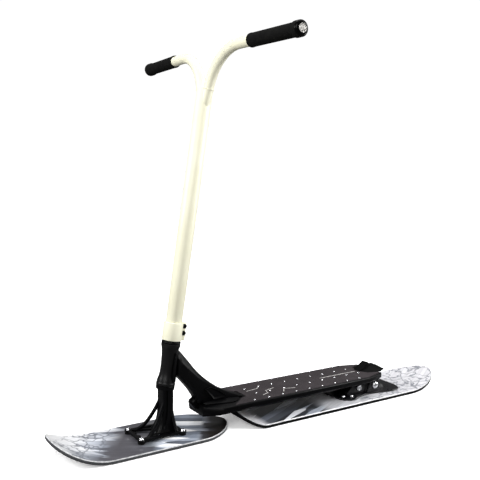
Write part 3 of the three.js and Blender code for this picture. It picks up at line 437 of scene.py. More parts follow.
def traction_sheet_grit():
    # Charcoal mineral grit in resin, like fine sandpaper: matt, its grains drawn 0.9 mm across so that they
    # show, and worn a little paler or darker every 45 mm or so.
    sheet = new_finish("traction sheet grit")
    at = add(sheet, "ShaderNodeTexCoord").outputs["Object"]
    grit = add(sheet, "ShaderNodeTexVoronoi", {"Vector": at, "Scale": 1 / (0.9 * MM)})
    cloud = add(sheet, "ShaderNodeTexNoise", {"Vector": at, "Scale": 1 / (45 * MM), "Detail": 6.0})
    grains = add(sheet, "ShaderNodeValToRGB", {
        "Fac": grit, "stops": [(0.0, "#433e40"), (0.55, "#2f2b2d"), (1.0, "#201e1f")]})
    wear = add(sheet, "ShaderNodeValToRGB", {"Fac": cloud, "stops": [(0.35, 0.85), (0.7, 1.1)]})
    tone = add(sheet, "ShaderNodeMixRGB", {
        "blend_type": "MULTIPLY", "Fac": 1.0, "Color1": grains, "Color2": wear})
    bump = add(sheet, "ShaderNodeBump", {
        "Height": grit, "Strength": 0.8, "Distance": 0.3 * MM, "invert": True})
    return surfaced(sheet, "#544f51", {"Roughness": 0.9, "IOR": 1.5, "Specular IOR Level": 0.12},
                    {"Base Color": tone, "Normal": bump})


def printed_top(name, ends, slant, tones, ice, shades, webbed, turn):
    """A board's clear-coated top: ice shards in greys and pale blue, over tones that change along the board.

    ends are the board's ends in mm, and slant is how far the tones are led on for each mm to the left. ice
    says how strongly the shards show along its length, shades what tones they have, webbed which share of its
    length carries grey lines, and turn how the shards lie.
    """
    # Printed polyester film under a clear coat: very glossy, so the surface mirrors what stands on it.
    film = new_finish(name)
    at = add(film, "ShaderNodeTexCoord").outputs["Object"]
    place = add(film, "ShaderNodeSeparateXYZ", {"Vector": at})
    flat = add(film, "ShaderNodeMapping", {"Vector": at, "Scale": (1.0, 1.0, 0.0)})
    lie = add(film, "ShaderNodeMapping", {"Vector": flat, "Rotation": (0, 0, math.radians(turn))})
    # How much of the board's length lies ahead.
    aslant = add(film, "ShaderNodeMath", {
        "operation": "MULTIPLY_ADD", 0: place.outputs["Y"], 1: -slant, 2: place.outputs["X"]})
    front, rear = ends
    share = add(film, "ShaderNodeMapRange", {
        "Value": aslant, "From Min": (AXIS_FOOT + front) * MM, "From Max": (AXIS_FOOT + rear) * MM,
        "clamp": False})
    # Shards about 120 mm long and 18 mm wide. Each takes its tone from a little ahead or behind.
    drawn_out = add(film, "ShaderNodeMapping", {"Vector": lie, "Scale": (1.0, 6.5, 1.0)})
    shards = add(film, "ShaderNodeTexVoronoi", {
        "Vector": drawn_out, "Scale": 1 / (120 * MM), "Randomness": 0.9})
    own = add(film, "ShaderNodeSeparateColor", {"Color": shards.outputs["Color"]})
    shift = add(film, "ShaderNodeMapRange", {"Value": own, "To Min": -0.05, "To Max": 0.05})
    led = add(film, "ShaderNodeMath", {"operation": "ADD", 0: share, 1: shift})
    plain = add(film, "ShaderNodeValToRGB", {"Fac": led, "stops": tones})
    depth = add(film, "ShaderNodeValToRGB", {"Fac": own.outputs["Green"], "stops": shades})
    icy = add(film, "ShaderNodeValToRGB", {"Fac": share, "stops": ice})
    base = add(film, "ShaderNodeMixRGB", {"Fac": icy, "Color1": plain, "Color2": depth})
    # Brushed streaks inside the shards, 5 mm apart and drawn out along them.
    brushed = add(film, "ShaderNodeMapping", {"Vector": lie, "Scale": (0.06, 1.0, 1.0)})
    streaks = add(film, "ShaderNodeTexNoise", {
        "Vector": brushed, "Scale": 1 / (5 * MM), "Detail": 4.0, "Roughness": 0.7})
    streak = add(film, "ShaderNodeValToRGB", {
        "Fac": streaks, "stops": [(0.35, 0.72), (0.55, 1.0), (0.75, 1.35)]})
    streaked = add(film, "ShaderNodeMixRGB", {
        "blend_type": "MULTIPLY", "Fac": 0.6, "Color1": base, "Color2": streak})
    # Grey crack lines, about 2 mm wide and 34 mm apart, on the pale end.
    wander = add(film, "ShaderNodeTexNoise", {"Vector": flat, "Scale": 1 / (30 * MM), "Detail": 2.0})
    bent = add(film, "ShaderNodeMixRGB", {
        "blend_type": "LINEAR_LIGHT", "Fac": 0.03, "Color1": flat, "Color2": wander.outputs["Color"]})
    cracks = add(film, "ShaderNodeTexVoronoi", {
        "Vector": bent, "feature": "DISTANCE_TO_EDGE", "Scale": 1 / (34 * MM)})
    lines = add(film, "ShaderNodeValToRGB", {
        "Fac": cracks, "stops": [(0.025, 0.85), (0.06, 0.35), (0.1, 0.0)]})
    start, end = webbed
    mask = add(film, "ShaderNodeValToRGB", {
        "Fac": share, "stops": [(start - 0.03, 0.0), (start, 1.0), (end, 1.0), (min(end + 0.05, 1), 0.0)]})
    drawn = add(film, "ShaderNodeMath", {"operation": "MULTIPLY", 0: lines, 1: mask})
    tone = add(film, "ShaderNodeMixRGB", {"Fac": drawn, "Color1": streaked, "Color2": linear("#63676f")})
    return surfaced(film, "#9a9ca4", {
        "Roughness": 0.3, "IOR": 1.5, "Specular IOR Level": 0.3, "Coat Weight": 0.6, "Coat Roughness": 0.05},
        {"Base Color": tone})


CREAM = cream_powder_coat()
BLACK = black_powder_coat("satin black powder coat", 0.09)
SEMI_GLOSS = black_powder_coat("semi-gloss black powder coat", 0.24)
CASTING = black_casting()
RUBBER = grip_rubber()
ABS = gloss_abs()
ZINC = zinc_steel()
STEEL = bare_steel()
CAST = cast_zinc()
OXIDE = black_oxide_steel()
GRIT = traction_sheet_grit()
NYLON = moulded_nylon()
MARKS = line_ink()
SIDEWALL = board_sidewall("black ABS sidewall", "#0b0b0c")
GREY_SIDEWALL = board_sidewall("grey ABS sidewall", "#4c4d4f")
EDGE_HIGHLIGHT = painted_edge_highlight()
BASE = board_base()
FRONT_TOP = printed_top(
    "printed front top sheet", ends=(240, -168), slant=0.75, turn=32, webbed=(0.04, 0.27),
    tones=[(0.0, "#ececed"), (0.12, "#e2e3e6"), (0.22, "#c3c6cd"), (0.28, "#8b8f98"), (0.33, "#4e4d52"),
           (0.54, "#434247"), (0.61, "#565a5e"), (0.68, "#aeb3bd"), (0.82, "#9da2ac"), (0.87, "#36363a"),
           (0.92, "#211e1c"), (1.0, "#161312")],
    ice=[(0.1, 0.0), (0.18, 0.5), (0.32, 0.15), (0.38, 0.0), (0.6, 0.1), (0.64, 0.9), (0.84, 0.9),
         (0.87, 0.0)],
    shades=[(0.15, "#454b56"), (0.4, "#868e9c"), (0.65, "#d3d8e2"), (0.85, "#ffffff")])
# The rear sheet's first tones, where it lies under the deck, are paler than its print: painted light that
# lifts the deck's shadow there.
REAR_TOP = printed_top(
    "printed rear top sheet with painted light under deck", ends=(-174, -835), slant=0.1, turn=-25, webbed=(0.56, 0.98),
    tones=[(0.0, "#efeef1"), (0.07, "#dcdbe0"), (0.2, "#a9a9b0"), (0.32, "#9a9ca5"), (0.38, "#c4c6cb"),
           (0.45, "#cacace"), (1.0, "#cccbcf")],
    ice=[(0.08, 0.0), (0.11, 0.95), (0.34, 0.95), (0.39, 0.1), (0.62, 0.0)],
    shades=[(0.2, "#14171c"), (0.42, "#5a606b"), (0.6, "#a9b0bc"), (0.8, "#f0f2f6")])

# Handlebar

GRIP_HEIGHT = 830
BAR_HALF = 308
GRIP_LENGTH = 151
GRIP_MIDDLE = BAR_HALF - GRIP_LENGTH / 2
GRIP_SWEEP = math.radians(2.6)
GRIP_AHEAD = 0.5  # of the steering axis, at the grips' inner ends
ARM_RADIUS = 11.1
ARM_BEND_RADIUS = 106
ARM_BEND_ANGLE = math.radians(76)
ARM_FOOT_OFFSET = 4
ARM_FOOT_SPREAD = 11.1
ARM_REACH = 69  # into the grip, from its middle
TUBE_RADIUS = 17.45
TUBE_BORE = 14.4
TUBE_TOP = 752
STEERER_ROOM = 262
BEAD_OUT = 14.6
BEAD_DROP = 3  # below the down tube's top
BEAD_TILT = math.radians(12)
STACK_TOP = 210.6


def grip_line(across):
    """How far ahead of the steering axis the grips' middle line lies at a distance from the middle plane."""
    return GRIP_AHEAD - (across - (BAR_HALF - GRIP_LENGTH)) * math.tan(GRIP_SWEEP)


def handlebar_arm(side):
    """A tube from inside the grip, bent down to the top of the down tube."""
    bend_end = ARM_FOOT_OFFSET + ARM_FOOT_SPREAD
    bend_start = bend_end + ARM_BEND_RADIUS * math.sin(ARM_BEND_ANGLE)
    end_height = GRIP_HEIGHT - ARM_BEND_RADIUS * (1 - math.cos(ARM_BEND_ANGLE))
    foot_height = end_height - ARM_FOOT_SPREAD * math.tan(ARM_BEND_ANGLE)
    outer = GRIP_MIDDLE + ARM_REACH * math.cos(GRIP_SWEEP)
    start = point(grip_line(outer), side * outer, GRIP_HEIGHT)
    bend = point(grip_line(bend_start), side * bend_start, GRIP_HEIGHT)
    end = point(0, side * bend_end, end_height)
    foot = point(0, side * ARM_FOOT_OFFSET, foot_height)
    inward = (bend - start).normalized()
    chord = end - bend
    half_turn = inward.angle(chord)
    axis = inward.cross(chord).normalized()
    radius = chord.length / (2 * math.sin(half_turn))
    centre = bend + axis.cross(inward) * radius
    clear_selection()
    bpy.ops.mesh.primitive_circle_add(vertices=48, radius=ARM_RADIUS * MM, fill_type="NGON")
    piece = placed(bpy.context.object,
                   Matrix.Translation(start) @ inward.to_track_quat("Z", "Y").to_matrix().to_4x4())
    open_up(piece)
    pull(bend - start)
    bpy.ops.mesh.spin(steps=20, angle=2 * half_turn, center=centre, axis=-axis)
    pull(foot - end)
    tidy_shell()
    shut()
    return placed(piece, steering_place)


def weld_bead():
    """A ring of overlapping drops, laid round an arm's foot."""
    clear_selection()
    bpy.ops.mesh.primitive_torus_add(
        major_radius=11.3 * MM, minor_radius=0.9 * MM, major_segments=96, minor_segments=10)
    piece = bpy.context.object
    open_up(piece)
    pick_faces(piece, lambda at, normal: in_first_half(at, 15))
    bpy.ops.transform.shrink_fatten(value=0.3 * MM)
    shut()
    return piece


def grip():
    """A rubber grip with fine ribs between an inner collar and an outer flange."""
    profile = [(11.4, -75.5), (13.2, -75.5), (14.0, -74.8), (14.1, -71), (13.4, -70.2)]
    pitch = 3
    for rib in range(41):
        low = -69.4 + rib * pitch
        profile += [(13.25, low), (13.6, low + 0.5), (13.6, low + 2.1), (13.25, low + 2.6)]
    flange = 54.5
    profile += [(13.6, flange), (14.9, 57), (15.25, 58.2), (15.25, 68.4), (14.8, 69.2), (11.4, 69.2)]
    piece = spun(profile, ring=True)
    # Eight shallow scoops in the flange's inner slope.
    open_up(piece)
    pick_faces(piece, lambda at, normal: at.z > flange and normal.z < -0.2 and math.hypot(at.x, at.y) > 14
               and in_first_half(at, 45))
    bpy.ops.mesh.inset(thickness=0.3 * MM)
    bpy.ops.transform.shrink_fatten(value=-0.8 * MM)
    shut()
    return piece


def bar_end():
    """A rounded plug with a seat for its disc."""
    return bevelled(spun([
        (0, 69.5), (15.25, 69.5), (15.25, 70.4), (15, 71.6), (14.3, 72.9), (13.2, 74), (11.8, 74.8),
        (10.2, 75.3), (8.9, 75.4), (8.6, 74.6), (0, 74.6)]), 0.1)


def bar_end_disc():
    """A stamped disc with eight short ribs round its middle."""
    piece = spun([(0, 74.6), (8.4, 74.6), (8.4, 75.1), (8.1, 75.4), (7.2, 75.4), (6.9, 74.9), (3.4, 74.9),
                  (3.1, 75.4), (0, 75.4)])
    open_up(piece)
    pick_faces(piece, lambda at, normal: normal.z > 0.9 and 3.5 < math.hypot(at.x, at.y) < 6.8
               and in_first_half(at, 45))
    pull(point(0, 0, 0.5))
    tidy_shell()
    shut()
    return piece


def grip_place(side):
    return (steering_place @ moved(grip_line(GRIP_MIDDLE), side * GRIP_MIDDLE, GRIP_HEIGHT)
            @ turned(side * GRIP_SWEEP, "Z") @ turned(-side * QUARTER, "X"))


down_tube = bevelled(spun([
    (0, STEERER_ROOM), (TUBE_BORE, STEERER_ROOM), (TUBE_BORE, STACK_TOP + 0.3),
    (TUBE_RADIUS, STACK_TOP + 0.3), (TUBE_RADIUS, TUBE_TOP - 1.8), (16.6, TUBE_TOP - 0.5), (14, TUBE_TOP),
    (0, TUBE_TOP + 0.4)], 72), 0.3)
fitted(placed(down_tube, steering_place), "handlebar_down_tube", "steering", CREAM, "down_tube")

bead_places = [
    steering_place @ moved(0, side * BEAD_OUT, TUBE_TOP - BEAD_DROP) @ turned(-side * BEAD_TILT, "X")
    for side_name, side in SIDES]
for (side_name, side), bead in zip(SIDES, repeated(weld_bead(), bead_places)):
    fitted(handlebar_arm(side), side_name + "_bent_arm", "steering", CREAM,
           side_name + "_handlebar_arm")
    fitted(bead, side_name + "_arm_weld", "steering", CREAM)

for make, name, node, slot, finish in ((grip, "_ribbed_grip", "_grip", "grip_rubber", RUBBER),
                                       (bar_end, "_end_plug", "_bar_end", "bar_end_plastic", ABS),
                                       (bar_end_disc, "_end_disc", "_bar_end_cap", "bright_steel", CAST)):
    twins = repeated(make(), [grip_place(side) for side_name, side in SIDES])
    for (side_name, side), twin in zip(SIDES, twins):
        fitted(twin, side_name + name, "steering", finish, side_name + node, smooth=30)

# Clamp

CLAMP_RADIUS = 21
CLAMP_BORE = 17.5
CLAMP_BOTTOM = STACK_TOP + 0.6
CLAMP_TOP = 249.6
LUG_REACH = 28
LUG_HALF = 7
SLOT_HALF = 1.5
CLAMP_BOLT_BACK = 21.6
CLAMP_BOLT_HEIGHTS = (243.1, 228.1)


def clamp_outline():
    """Once round the outside and back round the bore, with the two lugs at the rear."""
    start = math.asin(LUG_HALF / CLAMP_RADIUS)
    inner = math.asin(SLOT_HALF / CLAMP_BORE)
    steps = 56
    outline = [(-LUG_REACH, LUG_HALF)]
    for i in range(steps + 1):
        angle = math.pi - start - (2 * math.pi - 2 * start) * i / steps
        outline.append((CLAMP_RADIUS * math.cos(angle), CLAMP_RADIUS * math.sin(angle)))
    outline += [(-LUG_REACH, -LUG_HALF), (-LUG_REACH, -SLOT_HALF)]
    for i in range(steps + 1):
        angle = -math.pi + inner + (2 * math.pi - 2 * inner) * i / steps
        outline.append((CLAMP_BORE * math.cos(angle), CLAMP_BORE * math.sin(angle)))
    return outline + [(-LUG_REACH, SLOT_HALF)]


clamp = bevelled(plate(clamp_outline(), CLAMP_BOTTOM, CLAMP_TOP), 0.9, 3, 45)
fitted(placed(clamp, steering_place), "two_bolt_clamp", "steering", CREAM, "bar_clamp",
       smooth=40)

clamp_bolt = spun([(0, -7), (3, -7), (3, 7.3), (5, 7.3), (5, 11.4), (4.5, 12.7), (3.4, 13.3), (2.5, 13.3),
                   (2.5, 10.3), (0, 10.3)], 36)
bolt_places = [steering_place @ moved(-CLAMP_BOLT_BACK, 0, height) @ turned(-QUARTER, "X")
               for height in CLAMP_BOLT_HEIGHTS]
for bolt_name, bolt in zip(("upper", "lower"), repeated(clamp_bolt, bolt_places)):
    fitted(bolt, bolt_name + "_clamp_screw", "steering", OXIDE, bolt_name + "_clamp_bolt")

# Headset

HEAD_BOTTOM = 114.2
HEAD_TOP = 203.2
HEAD_LIP = 20.6
BEARING_RADIUS = 18.6
BEARING_DEPTH = 10
HEAD_BORE = 14.9
STEERER_CLEAR = 14.6

# Its outside narrows to a waist and flares again to the lips, which carry the bearings' seats.
head_tube = spun([
    (BEARING_RADIUS, HEAD_BOTTOM), (HEAD_LIP - 0.5, HEAD_BOTTOM), (HEAD_LIP, HEAD_BOTTOM + 0.5),
    (HEAD_LIP, HEAD_BOTTOM + 4.6), (20.2, 119.4), (19.9, 122), (19.3, 125), (18.5, 128.5), (17.6, 132),
    (16.8, 136), (16.2, 140.5), (15.9, 146), (15.85, 152), (15.9, 158), (16.1, 165), (16.5, 172), (17, 179),
    (17.7, 186), (18.6, 192), (19.5, 196), (20.2, HEAD_TOP - 5.2), (HEAD_LIP, HEAD_TOP - 4.6),
    (HEAD_LIP, HEAD_TOP - 0.5), (HEAD_LIP - 0.5, HEAD_TOP), (BEARING_RADIUS, HEAD_TOP),
    (BEARING_RADIUS, HEAD_TOP - BEARING_DEPTH),
    (HEAD_BORE, HEAD_TOP - BEARING_DEPTH), (HEAD_BORE, HEAD_BOTTOM + BEARING_DEPTH),
    (BEARING_RADIUS, HEAD_BOTTOM + BEARING_DEPTH)], 72, ring=True)
fitted(placed(head_tube, steering_place), "flared_head_tube", "chassis", SEMI_GLOSS,
       "head_tube", smooth=30)

cover = spun([
    (STEERER_CLEAR, 203.8), (20.1, 203.8), (20.4, 204.1), (20.4, 208.2), (19.9, 209), (18.4, 210.2),
    (17.6, STACK_TOP), (STEERER_CLEAR, STACK_TOP)], 72, ring=True)
fitted(placed(cover, steering_place), "upper_headset_cover", "steering", BLACK,
       "headset_cover")

crown = spun([
    (STEERER_CLEAR, 106), (20.2, 106), (20.2, 113.1), (19.8, 113.6), (17, 113.6), (17, 117.1),
    (STEERER_CLEAR, 117.1)], 72, ring=True)
fitted(placed(crown, steering_place), "crown_ring", "steering", BLACK, "fork_crown")

# Fork

LEG_BOTTOM = 16.8
CROWN_BOTTOM = 105.7
COLUMN_TOP = 104
COLUMN_PLACE = -16.5  # its middle, ahead of the axis foot
COLUMN_HALF_LENGTH = 13
COLUMN_HALF_WIDTH = 16.5
COLUMN_CORNER = 6
FRONT_SPREAD = 9
FOOT_SPREAD = 5
GROOVE_DEPTH = 2.4
FOOT_HALF = 33
LEG_ROOT = 9.4  # from the column's middle
LEG_STOP = 11.6  # from its foot's middle
LEG_EXTRA = 3.6  # below its bottom, cut away
LEG_SPREAD = (10, 20, 30)  # from the middle plane, at its top, its knee and its foot
# Each pair of legs: which way it points, where its feet stand, and how it leaves the column and bends down.
LEG_PAIRS = (("front", {"forward": 1, "foot": 55, "top": 76, "run": 0.53, "rise": 0.06}),
             ("rear", {"forward": -1, "foot": -41, "top": 58, "run": 0.1, "rise": 0.34}))
LEG_SECTION = ((-3, -2.6), (-2.2, -3.5), (2.2, -3.5), (3, -2.6), (3, 2.6), (2.2, 3.5), (-2.2, 3.5), (-3, 2.6))


def column_ring(share, steps=5):
    """The column's section at a share of its height: it spreads at its foot, most of all to the front."""
    height = LEG_BOTTOM + share * (COLUMN_TOP - LEG_BOTTOM)
    front = FRONT_SPREAD * max(0, 1 - share / 0.6) ** 1.7
    around = FOOT_SPREAD * max(0, 1 - share / 0.3) ** 2.4
    middle = COLUMN_PLACE + front / 2
    half_width = COLUMN_HALF_WIDTH + around
    centre_x = COLUMN_HALF_LENGTH + front / 2 + around - COLUMN_CORNER
    centre_y = half_width - COLUMN_CORNER
    ring = []
    for quarter, (sign_x, sign_y) in enumerate(((1, 1), (-1, 1), (-1, -1), (1, -1))):
        for i in range(steps + 1):
            angle = (quarter + i / steps) * QUARTER
            ring.append((middle + sign_x * centre_x + COLUMN_CORNER * math.cos(angle),
                         sign_y * centre_y + COLUMN_CORNER * math.sin(angle)))
    # A groove runs down each side, just behind the front corner.
    deep = GROOVE_DEPTH * min(1, share / 0.3)
    start = middle + centre_x - 0.4
    for side, at in ((-1, 3 * (steps + 1)), (1, steps + 1)):
        notch = [(start, half_width), (start - 0.8, half_width - deep), (start - 3.8, half_width - deep),
                 (start - 4.6, half_width)]
        for x, y in (notch if side < 0 else notch[::-1]):
            ring.insert(at, (x, side * y))
    # The top ring leans with the crown.
    return [point(x, y, height if share < 1 else (CROWN_BOTTOM + x * math.sin(LEAN)) / math.cos(LEAN))
            for x, y in ring]


column = carried([column_ring(share) for share in (0, 0.03, 0.07, 0.12, 0.18, 0.24, 0.31, 0.4, 0.5, 0.6, 1)])
fitted(placed(column, level_place), "spread_fork_column", "steering", BLACK, "fork_column",
       smooth=40)


def curved(start, knee, end, share):
    return start * (1 - share) ** 2 + knee * (2 * share * (1 - share)) + end * share ** 2


def fork_leg(leg, side):
    """A flat bar bent from the column's face out to a foot, and cut level at its bottom."""
    face = COLUMN_PLACE + leg["forward"] * LEG_ROOT
    inner = leg["foot"] - leg["forward"] * LEG_STOP
    low = LEG_BOTTOM - LEG_EXTRA
    at_top, at_knee, at_foot = LEG_SPREAD
    start = Vector((face, side * at_top, leg["top"]))
    knee = Vector((face + (inner - face) * leg["run"], side * at_knee,
                   low + (leg["top"] - low) * leg["rise"]))
    end = Vector((inner, side * at_foot, low))
    rings = []
    steps = 16
    for i in range(steps + 1):
        share = i / steps
        here = curved(start, knee, end, share)
        after = curved(start, knee, end, min(share + 0.01, 1))
        before = curved(start, knee, end, max(share - 0.01, 0))
        run_on = (after - before).normalized()
        across = Vector((0, 1, 0)) - run_on * run_on.y
        across.normalize()
        out = across.cross(run_on)
        rings.append([(here + across * a + out * b) * MM for a, b in LEG_SECTION])
    piece = carried(rings)
    open_up(piece)
    bpy.ops.mesh.bisect(plane_co=point(0, 0, LEG_BOTTOM), plane_no=(0, 0, 1), clear_inner=True, use_fill=True)
    tidy_shell()
    shut()
    return placed(piece, level_place)


def foot_pad():
    """A rubber puck with two grooves round it."""
    return spun([(3.3, 8), (6.9, 8), (7.2, 8.3), (7.2, 9.1), (6.8, 9.4), (6.8, 9.8), (7.2, 10.1), (7.2, 10.9),
                 (6.8, 11.1), (6.8, 11.4), (7.1, 11.7), (6.9, 12), (3.3, 12)], 40, ring=True)


def socket_screw(shank, head, dome, bottom, seat):
    """A button-head screw on a washer, with a hexagon socket."""
    top = seat + dome
    piece = spun([
        (0, bottom), (shank - 0.3, bottom), (shank, bottom + 0.4), (shank, seat), (head, seat),
        (head, seat + dome * 0.2), (head * 0.93, seat + dome * 0.3), (head * 0.9, seat + dome * 0.5),
        (head * 0.74, seat + dome * 0.86), (head * 0.6, top), (0, top)], 36)
    return cut(piece, rod(6, head * 0.45, top, dome * 1.2))


for end_name, leg in LEG_PAIRS:
    for side_name, side in SIDES:
        name = f"{end_name}_{side_name}_fork_leg"
        fitted(fork_leg(leg, side), name + "_bar", "steering", BLACK, name, smooth=50)

fitted(bevelled(refined("fork_base"), 0.7, 2, 50), "fork_base_frame", "steering", BLACK,
       "fork_base")

foot_names = [f"{end_name}_{side_name}_foot" for end_name, leg in LEG_PAIRS for side_name, side in SIDES]
foot_places = [level_place @ moved(leg["foot"], side * FOOT_HALF, 0) for end_name, leg in LEG_PAIRS
               for side_name, side in SIDES]
for name, puck in zip(foot_names, repeated(foot_pad(), foot_places)):
    fitted(puck, name + "_puck", "steering", RUBBER, name + "_pad")
for name, screw in zip(foot_names, repeated(socket_screw(3, 5.2, 4.5, 2.3, 16.5), foot_places)):
    fitted(screw, name + "_screw", "steering", ZINC, name + "_bolt")

# Boards

EDGE_TRIM = 1.7
SCORE_PITCH = 6
STEEPEST = math.radians(55)


def rounded_end(end, outward, half_width, steps=22):
    """Half the outline of a board's end, from its tip out to its full width."""
    points = []
    for i in range(steps + 1):
        angle = QUARTER * (1 - i / steps)
        along = math.sin(angle) ** (2 / end["roundness"])
        points.append((end["tip"] - outward * end["round"] * (1 - along),
                       half_width * math.cos(angle) ** (2 / end["roundness"])))
    return points


def lift(distance, radius):
    """How far a board has risen at a distance past the start of a rise, and the slope's cosine there."""
    run = min(max(distance, 0), radius * math.sin(STEEPEST))
    return radius - math.sqrt(radius * radius - run * run), math.sqrt(1 - (run / radius) ** 2)


def board(nose, tail, half_width, thickness, finishes):
    """A board cut to its outline, its edges trimmed, scored where it bends, and bent up at both ends."""
    half = rounded_end(nose, 1, half_width) + rounded_end(tail, -1, half_width)[::-1]
    outline = half + [(x, -y) for x, y in half[-2:0:-1]]
    piece = bevelled(plate(outline, 0, thickness), EDGE_TRIM, 1, 60)
    # Top, trimmed edge with its painted highlight, sidewall and base, told apart while the board is still
    # flat.
    for finish in finishes:
        piece.data.materials.append(finish)
    for face in piece.data.polygons:
        up = face.normal.z
        face.material_index = 0 if up > 0.95 else 1 if up > 0.3 else 3 if up < -0.95 else 2
    open_up(piece)
    for end, outward in ((nose, 1), (tail, -1)):
        start = end["tip"] - outward * end["rise"]
        count = max(6, int(end["rise"] / SCORE_PITCH))
        for i in range(count):
            bpy.ops.mesh.select_all(action="SELECT")
            score = start + outward * end["rise"] * i / count
            bpy.ops.mesh.bisect(plane_co=point(score, 0, 0), plane_no=(1, 0, 0))
    shut()
    for corner in piece.data.vertices:
        x = corner.co.x / MM
        nose_lift, nose_cosine = lift(x - (nose["tip"] - nose["rise"]), nose["radius"])
        tail_lift, tail_cosine = lift(tail["tip"] + tail["rise"] - x, tail["radius"])
        corner.co.z = corner.co.z / min(nose_cosine, tail_cosine) + (nose_lift + tail_lift) * MM
    return placed(piece, level_place)


front_board = board({"tip": 239.9, "round": 118, "rise": 112, "radius": 181, "roundness": 2.45},
                    {"tip": -168, "round": 93, "rise": 30, "radius": 300, "roundness": 1.65},
                    80, 8, (FRONT_TOP, EDGE_HIGHLIGHT, GREY_SIDEWALL, BASE))
fitted(front_board, "front_snow_board", "steering", None, "front_board", smooth=30)
rear_board = board({"tip": -174, "round": 52, "rise": 61, "radius": 80, "roundness": 1.65},
                   {"tip": -835, "round": 135, "rise": 150, "radius": 469, "roundness": 1.8},
                   82.5, 9, (REAR_TOP, EDGE_HIGHLIGHT, SIDEWALL, BASE))
fitted(rear_board, "rear_snow_board", "chassis", None, "rear_board", smooth=30)

# Deck and neck

DECK_TOP = 58.7
DECK_FRONT = -92
# The deck's layers of corners, each with its upper limit in height: how far the front end is drawn in and
# down, and how far the corners beside it are drawn back and down.
NOSE_LAYERS = ((46, (12, 6.5), (16, 0.8)), (50, (14, 3), (22, 0)), (DECK_TOP + 1, (14, 0), (22, 0)))
SHEET_TOP = 59.9
NECK_FOOT = 59.05
NECK_HALF = 19
NECK_TOP_HALF = 11
NECK_UNDERSIDE_HALF = 12

# The neck's edges from the head tube to its tail: its top, the lower edge of its broad chamfer, the foot of
# its side and its underside, each by its distance from the axis foot and its height.
NECK_TOP = [(-37.4, 192.5), (-48, 181.1), (-66.1, 159.6), (-83.9, 137.5), (-103.9, 118), (-128, 99.1),
            (-152.1, 83.6), (-176, 72.1), (-196, 64.1), (-205, 61.1)]
NECK_SHOULDER = [(-37.4, 172.5), (-45, 163.5), (-58, 149.2), (-72, 135.8), (-91, 118.6), (-117, 101),
                 (-143, 86.8), (-170, 73.2), (-192, 64.2), (-203, 60.6)]
NECK_SIDE_FOOT = [(-37.4, 138), (-41, 134.5), (-55, 123), (-69, 108.2), (-79.5, 95.5), (-91, 78),
                  (-108, 60.5), (-140, 60), (-180, 59.5), (-202, 59.3)]
NECK_UNDERSIDE = [(-37.4, 132), (-40.5, 129), (-51, 118.2), (-64, 103.5), (-74, 91.3), (-85, 75), (-96, 59.1),
                  (-140, 59.1), (-180, 59.1), (-202, 59.1)]


def nosed_deck():
    """The deck, its front end drawn in to a narrow deep nose."""
    piece = refined("deck")
    end_depth, side_depth, side_half = 3, 20, 55
    for corner in piece.data.vertices:
        behind = AXIS_FOOT + DECK_FRONT - corner.co.x / MM
        (drawn_in, end_down), (back, side_down) = next(
            (end, side) for limit, end, side in NOSE_LAYERS if corner.co.z < limit * MM)
        if behind < end_depth:
            corner.co.y -= math.copysign(drawn_in, corner.co.y) * MM
            corner.co.z -= end_down * MM
        elif behind < side_depth and abs(corner.co.y) > side_half * MM:
            corner.co.x -= back * MM
            corner.co.z -= side_down * MM
    return bevelled(piece, 0.5, 2, 40)


def smooth_path(points, count):
    """A smooth line through the points, as a spline drawn by hand would run."""
    made = []
    last = len(points) - 1
    for i in range(count + 1):
        at = last * i / count
        k = min(int(at), last - 1)
        t = at - k
        p = [Vector(points[min(max(k + j, 0), last)]) for j in (-1, 0, 1, 2)]
        made.append(0.5 * ((2 * p[1]) + (p[2] - p[0]) * t + (2 * p[0] - 5 * p[1] + 4 * p[2] - p[3]) * t * t
                           + (3 * p[1] - p[0] - 3 * p[2] + p[3]) * t ** 3))
    return made


def neck_saddle():
    """A half sleeve round the back of the head tube, where the neck is welded on."""
    outer, bore, bottom, top = 20.8, 16.2, 121, 186
    first, span, steps = 102, 156, 32
    angles = [math.radians(first + span * i / steps) for i in range(steps + 1)]
    outline = [(outer * math.cos(a), outer * math.sin(a)) for a in angles]
    outline += [(bore * math.cos(a), bore * math.sin(a)) for a in angles[::-1]]
    return placed(bevelled(plate(outline, bottom, top), 1.6, 3, 40), turned(-LEAN, "Y"))


def neck():
    """A box-section neck that sweeps down from the head tube, its upper edges broadly chamfered."""
    lines = [smooth_path(line, 36) for line in (NECK_TOP, NECK_SHOULDER, NECK_SIDE_FOOT, NECK_UNDERSIDE)]
    halves = (NECK_TOP_HALF, NECK_HALF, NECK_HALF, NECK_UNDERSIDE_HALF)
    rings = []
    for corners in zip(*lines):
        left = [(at.x, half, max(at.y, NECK_FOOT)) for at, half in zip(corners, halves)]
        rings.append([point(x, y, z) for x, y, z in left] + [point(x, -y, z) for x, y, z in left[::-1]])
    piece = carried(rings)
    head_room = placed(rod(64, 16, 160, 200), turned(-LEAN, "Y") @ moved(0, 0, 160))
    return joined([bevelled(cut(piece, head_room), 0.6, 2, 35), neck_saddle()])


def nose_block():
    """A faceted block on the deck's front end, under the neck."""
    half_width = 9.5
    outline = [(-106, 52), (-106, 75), (-88, 73), (-80.5, 69), (-75, 62.5), (-79.5, 55.5), (-86, 47.5),
               (-96, 45)]
    piece = slab([point(x, -half_width, z) for x, z in outline], point(0, 2 * half_width, 0))
    return bevelled(piece, 2.4, 1, 70)


